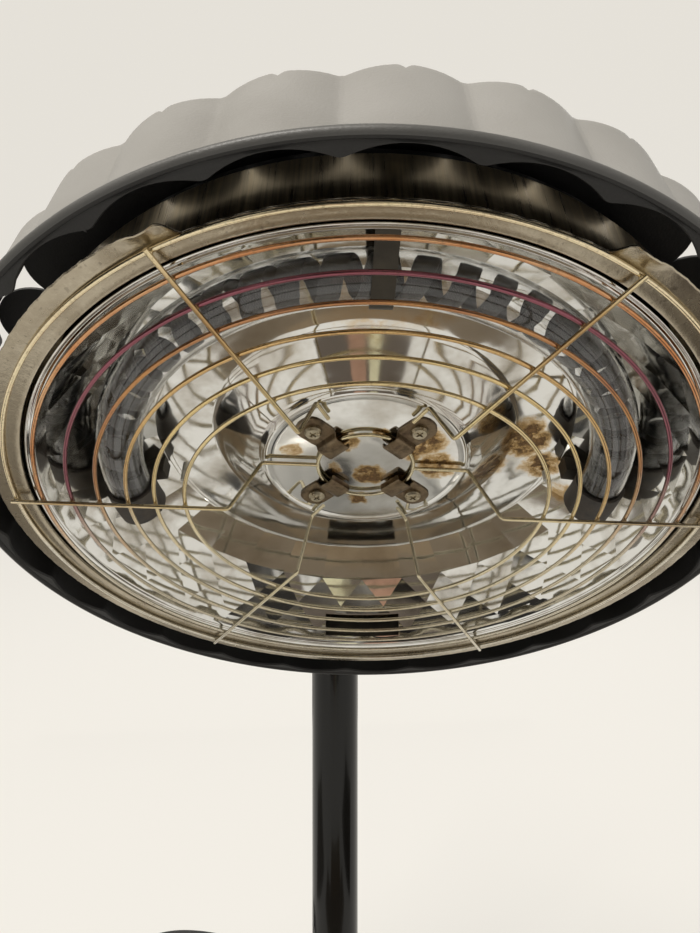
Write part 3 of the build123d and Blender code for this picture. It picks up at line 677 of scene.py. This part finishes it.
# Places and sizes here are in metres.
studio = {
    "floor": (0.13, 0.126, 0.116),
    "glow": (0.70, 0.672, 0.618),
    "flat": 5.0,
    "bend": 3.0,
    "wall": 14.0,
    "world": (1.0, 0.975, 0.94),
    "worldStrength": 0.46,
    # name, place, aim, width, height, power, color
    "lights": [
        ("key", (-0.9, -1.6, 2.7), (0, -0.2, 0.5), 0.9, 0.9, 80, (1.0, 0.96, 0.90)),
        ("fill", (2.3, -1.6, 1.3), (0, -0.1, 0.4), 1.4, 1.4, 1.5, (0.95, 0.97, 1.0)),
        ("rim", (0.5, 2.3, 1.9), (0, 0, 0.4), 1.8, 0.9, 22, (1.0, 0.98, 0.95)),
    ],
    # name, place, aim, width, height, color
    "cards": [
        ("card_front", (0.75, -1.35, 0.35), (0, -0.2, 0.45), 0.35, 0.9, (0.014, 0.012, 0.010)),
        ("card_left", (-1.2, -1.0, 0.10), (0, -0.2, 0.45), 0.5, 0.6, (0.014, 0.012, 0.010)),
        ("card_under", (0.02, -0.34, 0.012), (0.02, -0.34, 1.0), 0.26, 0.12, (0.20, 0.145, 0.085)),
        ("card_warm", (0.0, -1.15, 0.12), (0, -0.2, 0.45), 0.90, 0.46, (0.17, 0.135, 0.105)),
        ("card_peach", (-0.05, -1.10, 0.12), (0, -0.2, 0.45), 0.15, 0.40, (0.62, 0.36, 0.24)),
        ("card_yellow", (0.11, -1.10, 0.12), (0, -0.2, 0.45), 0.10, 0.36, (1.0, 0.94, 0.62)),
        ("card_near", (0.0, -0.235, 0.012), (0.0, -0.235, 1.0), 0.40, 0.10, (0.15, 0.115, 0.075)),
        ("card_side", (-0.42, -0.08, 0.012), (-0.42, -0.08, 1.0), 0.30, 0.26, (0.15, 0.135, 0.115)),
        ("card_right", (0.42, -0.22, 0.012), (0.42, -0.22, 1.0), 0.30, 0.34, (0.05, 0.038, 0.026)),
        ("card_behind", (-0.10, 0.85, 0.10), (0, -0.2, 0.45), 0.9, 0.30, (0.06, 0.052, 0.042)),
    ],
}
roomSettings = {
    "radius": 4.2,
    "scale": 0.55,
    "stops": [
        (0.40, (0.012, 0.011, 0.010)), (0.52, (0.05, 0.045, 0.04)),
        (0.56, (0.22, 0.20, 0.17)), (0.62, (0.85, 0.83, 0.78)),
    ],
}


def aimAt(piece, place, target, axis):
    piece.location = place
    piece.rotation_euler = (Vector(target) - Vector(place)).to_track_quat(axis, "Y").to_euler()


def onlyReflected(piece):
    # Seen in the mirror and the metal, and nowhere else.
    piece.visible_camera = False
    piece.visible_diffuse = False
    piece.visible_shadow = False
    piece.visible_transmission = False


def makeSweep():
    # The backdrop: a flat floor that bends up into a wall, all round.
    s = studio
    profile = [(0.0001, 0.0), (s["flat"], 0.0)]
    for k in range(1, 17):
        angle = math.radians(90 * k / 16)
        profile.append((s["flat"] + s["bend"] * math.sin(angle), s["bend"] * (1 - math.cos(angle))))
    profile.append((s["flat"] + s["bend"], s["bend"] + s["wall"]))
    verts, faces = lathe([(radius / mm, height / mm) for radius, height in profile], 96, closed=False)
    glow = {"Emission Color": (*s["glow"], 1), "Emission Strength": 1.0}
    material, tree, shader = newMaterial("paperSweep", s["floor"], 0.85, 0.0, glow)
    warm = tuple(level * 0.985 for level in s["floor"])
    grain = noise(objectPlace(tree), 3.0, 2.0)
    feed(shader, "Base Color", mixColor(grain, s["floor"], warm))
    floor = makeObject("paper_sweep", verts, faces, 60, [material])
    floor.visible_diffuse = False  # the world and the lights do the lighting


def makeWorld():
    world = bpy.data.worlds.new("studioWorld")
    world.use_nodes = True
    background = world.node_tree.nodes["Background"]
    background.inputs["Color"].default_value = (*studio["world"], 1)
    background.inputs["Strength"].default_value = studio["worldStrength"]
    bpy.context.scene.world = world


def makeLights():
    for name, place, target, width, height, power, color in studio["lights"]:
        data = bpy.data.lights.new(name, "AREA")
        data.shape = "RECTANGLE"
        data.size = width
        data.size_y = height
        data.energy = power
        data.color = color
        light = bpy.data.objects.new(name, data)
        aimAt(light, place, target, "-Z")
        bpy.context.scene.collection.objects.link(light)


def makeCards():
    for name, place, target, width, height, color in studio["cards"]:
        x = width / 2
        y = height / 2
        material, tree, shader = newMaterial(name + "Paper", color, 0.9)
        corners = [(-x, -y, 0), (x, -y, 0), (x, y, 0), (-x, y, 0)]
        card = makeObject(name, corners, [(0, 1, 2, 3)], 30, [material])
        aimAt(card, place, target, "Z")
        onlyReflected(card)


def makeRoom():
    # A dim room in front of the heater.
    r = roomSettings
    material = bpy.data.materials.new("roomSurround")
    material.use_nodes = True
    tree = material.node_tree
    tree.nodes.remove(tree.nodes["Principled BSDF"])
    glow = addNode(tree, "ShaderNodeEmission")
    cloud = noise(objectPlace(tree, (1.4, 1.0, 1.0)), r["scale"], 2.5, 0.45)
    feed(glow, "Color", ramp(cloud, r["stops"]))
    feed(tree.nodes["Material Output"], "Surface", glow.outputs["Emission"])
    rows = 24
    columns = 48
    verts = []
    for i in range(rows + 1):
        rise = math.radians(2 + 80 * i / rows)
        reach = r["radius"] * math.cos(rise)
        for j in range(columns + 1):
            turn = math.radians(180 + 180 * j / columns)
            verts.append((reach * math.cos(turn), reach * math.sin(turn), r["radius"] * math.sin(rise)))
    faces = gridFaces(rows + 1, columns + 1, False, False)
    onlyReflected(makeObject("room_surround", verts, faces, 60, [material]))


makeSweep()
makeWorld()
makeLights()
makeCards()
makeRoom()
bpy.context.scene.view_settings.view_transform = "Standard"
bpy.context.scene.view_settings.look = "None"
print("studio ready")

shadeSettings = {
    "lobes": 27,
    "valley": 182.5,
    "crest": 187.5,
    "topValley": 180.0,
    "topCrest": 184.3,
    "depth": 55.0,
    "wall": 1.5,
    "notch": 3.2,
    "crease": 0.55,
    "beadRadius": 188.0,
    "beadDepth": 2.0,
    "bead": 2.0,
    "widest": 189.5,
}
# distance down from the top edge and inset, in millimetres, with the foot swept outward
shadeWall = [
    (0.0, 0.5), (0.6, 0.15), (1.5, 0), (3.2, 0), (5, 0), (9, 0), (14, 0), (20, 0), (26, 0), (32, 0),
    (38, 0), (43, 0), (47, 0), (49.6, -0.5), (51.2, -1.2), (52.2, -2.4), (52.7, -3.6),
]


def lobeShape(share, valley, crest, lobes):
    # Distance from the axis at this share of one lobe, a round arc from valley to crest to valley.
    half = math.pi / lobes
    chord = valley * math.sin(half)
    rise = crest - valley * math.cos(half)
    arcRadius = (chord * chord + rise * rise) / (2 * rise)
    centre = crest - arcRadius
    angle = (share - 0.5) * 2 * half
    return centre * math.cos(angle) + math.sqrt(arcRadius**2 - (centre * math.sin(angle)) ** 2)


def makeShade():
    s = shadeSettings
    shares = [0.0, 0.012, 0.03, 0.06, 0.11, 0.18, 0.26, 0.34, 0.40, 0.426, 0.452, 0.476, 0.5]
    shares += [1 - share for share in reversed(shares[1:-1])]
    angles = [(lobe + share, share) for lobe in range(s["lobes"]) for share in shares]
    verts = []

    def wallRadius(down, share, inset):
        fraction = down / s["depth"]
        valley = s["topValley"] + (s["valley"] - s["topValley"]) * fraction
        crest = s["topCrest"] + (s["crest"] - s["topCrest"]) * fraction
        shape = lobeShape(share, valley, crest, s["lobes"])
        soften = s["crease"] * max(0.0, 1 - min(share, 1 - share) / 0.05) ** 2
        return shape + soften - inset

    def notchDepth(share, down):
        # The small notch at the top of each crest.
        along = abs(share - 0.5) * 2 * math.pi * s["topCrest"] / s["lobes"]
        notch = max(0.0, s["notch"] - along * 1.15)
        return max(down, notch + down * 0.25) if notch > 0 else down

    def addRow(place):
        # place gives the radius and the depth at one share of a lobe.
        for turn, share in angles:
            radius, depth = place(share)
            verts.append(aroundAxis(2 * math.pi * turn / s["lobes"], radius, 0, depth))

    def addWallRow(down, inset):
        def place(share):
            return min(wallRadius(down, share, inset), s["widest"]), s["depth"] - notchDepth(share, down)

        addRow(place)

    for down, inset in shadeWall:
        addWallRow(down, inset)
    # Brim top, the round bead, and the underside.
    for k in range(1, 4):
        addRow(lambda share: (s["beadRadius"] - 2.0 + 0.1 * k, 2.25))
    for k in range(11):
        turn = math.radians(150 - 30 * k)
        bead = (s["beadRadius"] + s["bead"] * math.cos(turn), s["beadDepth"] + s["bead"] * math.sin(turn))
        addRow(lambda share: bead)
    under = s["beadRadius"] - 2.2
    for k in range(1, 5):
        addRow(lambda share: (under + (wallRadius(54, share, s["wall"] + 0.4) - under) * k / 4, 0.45))
    # Inner wall, from the brim up to the top edge.
    addWallRow(53.6, s["wall"] + 0.9)
    for down in (52, 47, 38, 26, 14, 5, 3.2, 1.5, 0.6):
        addWallRow(down, s["wall"])
    addWallRow(0.0, s["wall"] - 0.5)
    columns = len(angles)
    rowCount = len(verts) // columns
    greyRows = len(shadeWall) + 5
    # The bead's outward, lower half takes the darker grey: painted shade on the rounded edge.
    beadShadeEnd = greyRows + 6
    rowFinishes = [0] * greyRows + [2] * (beadShadeEnd - greyRows) + [1] * (rowCount - beadShadeEnd - 1) + [0]
    faceMaterials = [number for number in rowFinishes for column in range(columns)]
    materials = [finish["shadeGrey"], finish["shadeBlack"], finish["beadPaintedShade"]]
    faces = gridFaces(rowCount, columns, True, True)
    piece = makeObject("fluted_shade", verts, faces, 40, materials, faceMaterials)
    return onHead(piece, "shade_paint", "shade")


makeShade()
print("shade made")

drumShape = {"radius": 163, "front": 4.1, "back": 37, "lip": 153, "sheet": 1.0}


def makeDrum():
    d = drumShape
    front = d["front"]
    back = d["back"]
    radius = d["radius"]
    profile = [
        (160, front), (162.2, front), (162.8, 4.4), (radius, 5.0), (radius, 8.2), (162.7, 8.8), (162.7, 9.6),
        (radius, 10.2), (radius, 20), (radius, 34.6), (162.6, 36.2), (161.6, back), (154, back),
        (d["lip"], 36.6), (d["lip"], 36.1), (161.2, back - d["sheet"]), (161.9, 35.2), (162, 20), (162, 5.2),
        (160, 5.1),
    ]
    verts, faces = lathe(profile, 256)
    piece = makeObject("brushed_drum", verts, faces, 30, [finish["brushedDrum"]])
    return onHead(piece, "brushed_stainless", "drum")


makeDrum()

trimShape = {
    "inner": 158.0,
    "fold": 165.6,
    "outer": 173.0,
    "face": 3.0,
    "gap": (-113.0, -61.0),
    "gapRadius": 165.8,
    "curl": 3.4,
}


def makeTrim():
    # A pressed ring. Between the two upper spokes only its inner half is left, and the cut ends curl up.
    t = trimShape
    inner = t["inner"]
    fold = t["fold"]
    columns = 720
    verts = []
    for j in range(columns):
        degrees = 360 * j / columns
        signed = degrees - 360 if degrees > 180 else degrees
        inside = min(signed - t["gap"][0], t["gap"][1] - signed)
        cutAway = min(max((inside + 1.0) / 2.2, 0.0), 1.0)
        cutAway = cutAway * cutAway * (3 - 2 * cutAway)
        outer = t["outer"] + (t["gapRadius"] - t["outer"]) * cutAway
        bump = math.exp(-(((inside + 2.6) / 2.4) ** 2)) * t["curl"]
        lean = math.exp(-(((inside + 5.5) / 4.5) ** 2)) * 1.1
        rough = 0.22 * math.sin(degrees * 1.9) + 0.14 * math.sin(degrees * 4.3 + 1)
        span = outer - fold
        # radius, depth behind the face, share of the curl
        section = [
            (inner, 6.0, 0), (inner, 1.2, 0), (inner + 0.35, 0.4, 0), (inner + 1.2, 0.05, 0),
            (161.2, 0.22, 0), (163.4, 0.05, 0), (164.6, 0, 0), (fold, 0.1, 0),
            (fold + span * 0.25, 0.05, 0.1), (fold + span * 0.5, 0, 0.3), (fold + span * 0.75, 0.02, 0.65),
            (fold + span * 0.93, 0.08, 0.95),
            (outer, 0.45, 1.0), (outer - 0.05, 0.95, 0.95), (fold + span * 0.75, 1.0, 0.65),
            (fold + span * 0.4, 1.0, 0.2), (165.4, 1.0, 0), (162, 1.0, 0), (inner + 1.0, 1.1, 0),
            (inner + 0.9, 6.0, 0),
        ]
        for radius, depth, share in section:
            away = radius + rough * share * 0.5
            lifted = t["face"] + depth - (bump + lean) * share
            verts.append(aroundAxis(math.radians(degrees), away, 0, lifted))
    faces = turned(gridFaces(columns, len(section), True, True))
    piece = makeObject("trim_flange", verts, faces, 32, [finish["trimSteel"]])
    return onHead(piece, "trim_stainless", "trim_ring")


makeTrim()
print("drum and trim made")

reflectorShape = {
    "facets": 32,
    "perFacet": 6,
    "floor": 108.0,
    "step": 131.0,
    "middle": 141.2,
    "crown": 150.0,
}
# radius and depth, from the centre plate up the cone and into the trough
bowlProfile = [
    (0.01, 31.5), (12, 31.5), (24, 31.5), (36, 31.52), (46, 31.5), (48.2, 31.45), (49.2, 31.1),
    (50.3, 31.0), (51.3, 31.6), (52.4, 33.0), (54, 34.4), (58, 37.2), (64, 41.3), (70, 45.4),
    (73.5, 47.8), (75.4, 48.9), (77, 49.6), (79, 50), (90, 50), (104, 50),
]
rimProfile = [
    (151.4, 9.2), (152.6, 6.8), (153.2, 5.7), (153.9, 5.3), (154.6, 5.5), (155.1, 5.2),
    (155.6, 4.5), (156.1, 4.25), (156.6, 4.4), (156.75, 4.9), (156.4, 5.3),
]
bowlBack = [
    (156.4, 5.3), (154.4, 6.4), (151, 13), (132, 40.9), (108.4, 50.8), (79, 50.8), (75, 49.6),
    (52, 34), (48.6, 32.3), (0.01, 32.3),
]
slotShape = {"width": 47.0, "height": 12.0, "reach": 30.0, "far": 147.0, "depth": 16.0}


def polygonRadius(radius, turn, facets):
    # The straight side of a polygon whose corners are at this radius.
    part = (turn * facets) % 1.0
    half = math.pi / facets
    return radius * math.cos(half) / math.cos((part - 0.5) * 2 * half)


def cutSlot(piece):
    # The long hole low in the mirror's wall.
    s = slotShape
    halves = Vector((s["width"], s["reach"], s["height"])) / 2
    middle = Vector((0, s["far"], s["depth"]))
    signs = [(x, y, z) for x in (-1, 1) for y in (-1, 1) for z in (-1, 1)]
    verts = [tuple((middle + Vector(sign) * halves) * mm) for sign in signs]
    faces = [(0, 1, 3, 2), (4, 6, 7, 5), (0, 4, 5, 1), (2, 3, 7, 6), (0, 2, 6, 4), (1, 5, 7, 3)]
    cutter = makeObject("slot_cutter", verts, faces)
    modifier = piece.modifiers.new("slot", "BOOLEAN")
    modifier.operation = "DIFFERENCE"
    modifier.object = cutter
    modifier.solver = "EXACT"
    bpy.context.view_layer.update()
    cut = bpy.data.meshes.new_from_object(piece.evaluated_get(bpy.context.evaluated_depsgraph_get()))
    piece.modifiers.remove(modifier)
    piece.data = cut
    bpy.data.objects.remove(cutter)


def makeReflector():
    r = reflectorShape
    facets = r["facets"]
    columns = facets * r["perFacet"]
    smooth = []
    parts = []

    def addBand(places, isSmooth):
        # places holds one function of the turn, from 0 to 1, for each row.
        verts = []
        for place in places:
            for j in range(columns):
                radius, depth = place(j / columns)
                verts.append(aroundAxis(2 * math.pi * j / columns, radius, 0, depth))
        faces = turned(gridFaces(len(places), columns, False, True))
        parts.append((verts, faces))
        smooth.extend([isSmooth] * len(faces))

    def circle(radius, depth):
        return lambda turn: (radius, depth)

    def polygon(radius, depth):
        return lambda turn: (polygonRadius(radius, turn, facets), depth)

    addBand([circle(*point) for point in bowlProfile], True)
    addBand([circle(104, 50), polygon(r["floor"], 50)], True)
    addBand([polygon(r["floor"], 50), polygon(r["step"], 40)], False)
    # Two rows of triangles, staggered like a cut stone.
    corners = []
    for radius, depth, shift in ((r["step"], 40, 0.0), (r["middle"], 26, 0.5), (r["crown"], 12, 0.0)):
        turns = [2 * math.pi * (k + shift) / facets for k in range(facets)]
        corners += [aroundAxis(turn, radius, 0, depth) for turn in turns]
    gems = []
    for k in range(facets):
        nextK = (k + 1) % facets
        gems.append((k, facets + k, nextK))
        gems.append((nextK, facets + k, facets + nextK))
        gems.append((2 * facets + k, 2 * facets + nextK, facets + k))
        gems.append((2 * facets + nextK, facets + nextK, facets + k))
    parts.append((corners, gems))
    smooth.extend([False] * len(gems))
    addBand([polygon(r["crown"], 12)] + [circle(*point) for point in rimProfile], True)
    addBand([circle(*point) for point in bowlBack], True)
    piece = makeObject("mirror_bowl", *joinParts(parts), 180, [finish["mirrorSheet"]])
    piece.data.polygons.foreach_set("use_smooth", smooth)
    piece.data.update()
    cutSlot(piece)
    return onHead(piece, "mirror_reflector", "reflector")


makeReflector()
print("reflector made")

tubeShape = {
    "ring": 120.0,
    "depth": 25.0,
    "outer": 11.0,
    "inner": 9.8,
    "start": 173.0,
    "sweep": 194.0,
    "helix": 8.3,
    "strip": 9.0,
    "pitch": 15.6,
    "sheet": 0.8,
}


def ringPlace(along, out, back):
    # A point beside the tube's centre line: along it in degrees, outward and backward in millimetres.
    return aroundAxis(math.radians(along), tubeShape["ring"] + out, 0, tubeShape["depth"] + back)


def makeQuartz():
    # The outer wall, the inner wall and a flat ring at each end.
    t = tubeShape
    steps = 160
    sides = 40
    parts = []
    for radius in (t["outer"], t["inner"]):
        verts = []
        for i in range(steps + 1):
            along = t["start"] + t["sweep"] * i / steps
            for k in range(sides):
                turn = 2 * math.pi * k / sides
                verts.append(ringPlace(along, radius * math.cos(turn), radius * math.sin(turn)))
        parts.append((verts, gridFaces(steps + 1, sides, False, True)))
    parts[1] = (verts, turned(parts[1][1]))
    verts, faces = joinParts(parts)
    offset = (steps + 1) * sides
    for end in (0, steps * sides):
        for k in range(sides):
            nextK = (k + 1) % sides
            face = (end + k, offset + end + k, offset + end + nextK, end + nextK)
            faces.append(face if end == 0 else tuple(reversed(face)))
    piece = makeObject("quartz_tube_glass", verts, faces, 40, [finish["quartz"]])
    return onHead(piece, "quartz", "quartz_tube")


def makeRibbon():
    # One woven strip wound as a loose coil, a little uneven from turn to turn.
    t = tubeShape
    random.seed(5)
    length = math.radians(t["sweep"] - 4) * t["ring"]
    turns = length / t["pitch"]
    perTurn = 28
    steps = int(turns * perTurn)
    shifts = [random.uniform(-0.7, 0.7) for k in range(int(turns) + 3)]
    widths = [random.uniform(-0.5, 0.6) for k in range(int(turns) + 3)]
    section = [
        (-0.5, 0), (-0.47, 0.5), (-0.2, 0.62), (0.2, 0.62),
        (0.47, 0.5), (0.5, 0), (0.47, -0.4), (-0.47, -0.4),
    ]
    verts = []
    for i in range(steps + 1):
        share = i / steps
        turn = turns * share
        whole = int(turn)
        part = turn - whole
        shift = shifts[whole] * (1 - part) + shifts[whole + 1] * part
        width = t["strip"] + widths[whole] * (1 - part) + widths[whole + 1] * part
        for across, lift in section:
            fray = random.uniform(-0.22, 0.22) if abs(across) > 0.45 else 0.0
            axial = shift + across * width + fray
            radius = t["helix"] + lift * t["sheet"] + random.uniform(-0.05, 0.05)
            along = t["start"] + 2 + math.degrees((length * share + axial) / t["ring"])
            phase = 2 * math.pi * turn
            verts.append(ringPlace(along, radius * math.cos(phase), radius * math.sin(phase)))
    faces = turned(gridFaces(steps + 1, len(section), False, True) + endFaces(steps + 1, len(section)))
    piece = makeObject("carbon_ribbon", verts, faces, 50, [finish["carbonRibbon"]])
    return onHead(piece, "carbon_fibre", "carbon_element")


makeQuartz()
makeRibbon()

strapShape = {"angle": -88.0, "width": 8.8, "sheet": 1.0, "round": 11.9}


def makeStrap():
    # A bent strip from the mirror's outer wall, over the tube and down to the trough.
    s = strapShape
    path = [(149.2, 14.6), (146.5, 13.3), (140, 13.1), (130, 13.1), (120, 13.1)]
    for degrees in (15, 30, 45, 60, 75, 90):
        turn = math.radians(degrees)
        path.append((120 - s["round"] * math.sin(turn), 25 - s["round"] * math.cos(turn)))
    path += [(108.1, 32), (108.1, 40), (108.1, 46.5), (106.9, 48.7), (104.5, 49.5), (98, 49.6)]
    path = [(radius, depth, s["width"] / 2) for radius, depth in path]
    section = [(-1, 0.8), (-0.94, 1), (0.94, 1), (1, 0.8), (1, -0.8), (0.94, -1), (-0.94, -1), (-1, -0.8)]
    verts, faces = stripAlong(path, section, s["sheet"], math.radians(s["angle"]))
    piece = makeObject("tube_strap", verts, faces, 40, [finish["stripSteel"]])
    return onHead(piece, "support_steel", "tube_support")


makeStrap()
print("heating tube made")

guardShape = {
    "wire": 1.0,
    "rings": (165, 152.7, 139.1, 126.4, 113, 100.3, 86.3),
    "ringDepth": 1.9,
    "hub": 24.0,
    "hubDepth": 29.6,
    "spokes": (3.5, -56.5, -116.5, -176.5, 123.5, 63.5),
    "outer": 167.0,
    "bend": 66.0,
    "step": 52.0,
    "clipEnd": 40.0,
    "corner": 2.8,
    "weld": 1.35,
    "weldDepth": 0.95,
}


def weldBall(centre, size):
    rows = 5
    sides = 10
    verts = []
    for i in range(1, rows + 1):
        polar = math.pi * i / (rows + 1)
        for j in range(sides):
            turn = 2 * math.pi * j / sides
            out = math.sin(polar)
            outward = Vector((out * math.cos(turn), out * math.sin(turn), math.cos(polar)))
            verts.append(tuple(centre + outward * size))
    return verts, turned(gridFaces(rows, sides, False, True) + endFaces(rows, sides))


def makeGuard():
    g = guardShape
    parts = [lathe(roundProfile(radius, g["ringDepth"], g["wire"], 12), 288) for radius in g["rings"]]
    rings = makeObject("guard_ring_wires", *joinParts(parts), 60, [finish["guardWire"]])
    onHead(rings, "guard_wire", "guard_rings")
    verts, faces = lathe(roundProfile(g["hub"], g["hubDepth"], g["wire"], 14), 128)
    hub = makeObject("guard_hub_wire", verts, faces, 60, [finish["guardWire"]])
    onHead(hub, "guard_wire", "guard_hub_ring")
    parts = []
    deep = g["hubDepth"] - 0.4
    for k, degrees in enumerate(g["spokes"]):
        angle = math.radians(degrees)
        inner = g["hub"] if k % 3 == 0 else g["clipEnd"]
        corners = [(g["outer"], 0), (g["bend"], 0), (g["step"], deep), (inner, deep)]
        points = [aroundAxis(angle, radius, 0, depth) for radius, depth in corners]
        parts.append(tubeAlong(roundCorners(points, g["corner"] * mm, 7), g["wire"] * mm, 12))
        # A small weld where the spoke crosses each ring.
        for radius in g["rings"]:
            parts.append(weldBall(Vector(aroundAxis(angle, radius, 0, g["weldDepth"])), g["weld"] * mm))
    spokes = makeObject("guard_spoke_wires", *joinParts(parts), 60, [finish["spokeWire"]])
    onHead(spokes, "guard_wire", "guard_spokes")


makeGuard()

clipShape = {"angles": (45, 135, 225, 315), "foot": 15.0, "sheet": 0.9}
# radius, depth and share of the foot's width: a round end, a rise, and a saddle over the hub ring
clipPath = [
    (44.3, 31.0, 0.22), (43.6, 31.0, 0.55), (42.2, 31.0, 0.8), (40.2, 31.0, 0.95), (37.5, 31.0, 1.0),
    (32.0, 31.0, 1.0), (29.2, 31.0, 0.98), (28.1, 30.7, 0.92), (27.5, 29.8, 0.86), (27.2, 28.6, 0.84),
    (26.7, 27.7, 0.84), (25.6, 27.25, 0.84), (21.0, 27.05, 0.84), (19.0, 27.1, 0.84), (18.0, 27.6, 0.82),
    (17.7, 28.6, 0.8), (17.7, 30.2, 0.78),
]
clipSection = [
    (-1, 0.8), (-0.93, 1), (0, 1), (0.93, 1), (1, 0.8),
    (1, -0.8), (0.93, -1), (0, -1), (-0.93, -1), (-1, -0.8),
]


def makeClips():
    c = clipShape
    path = [(radius, depth, c["foot"] / 2 * share) for radius, depth, share in clipPath]
    parts = [stripAlong(path, clipSection, c["sheet"], math.radians(degrees)) for degrees in c["angles"]]
    piece = makeObject("guard_saddles", *joinParts(parts), 40, [finish["clipSteel"]])
    onHead(piece, "clip_steel", "guard_clips")


makeClips()
print("guard made")

nodeFinish = {
    "satinBlack": ("shade_brackets", "back_cover"),
    "glossBlack": ("tilt_arm", "post_knuckle", "post_tube", "post_collar"),
    "stainless": ("base_cover",),
    "zinc": (
        "heat_shield", "standoffs", "arm_screws", "tilt_bolt", "post_socket", "socket_screws", "base_pan",
        "base_screws", "tip_spring",
    ),
    "screwSteel": ("shade_screws", "clip_screws", "cover_screws"),
    "stripSteel": ("slot_plate", "cap_brackets"),
    "castIron": ("base_weight",),
    "brass": ("knob_insert",),
    "ceramic": ("terminal_block", "thermal_cutout"),
    "darkCeramic": ("tube_end_caps",),
    "sleeving": ("lead_wires", "post_cable"),
    "fibre": ("friction_washers",),
    "nylon": ("tilt_knob", "control_knob", "rotary_switch", "tip_switch"),
    "acetal": ("tip_plunger",),
    "rubber": ("non_slip_pad", "cord_gland", "plug_body"),
    "nickel": ("plug_pins",),
}
for finishName, names in nodeFinish.items():
    for name in names:
        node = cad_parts[name]
        node.data.materials.clear()
        node.data.materials.append(finish[finishName])
print("finishes given to the carried-over pieces")
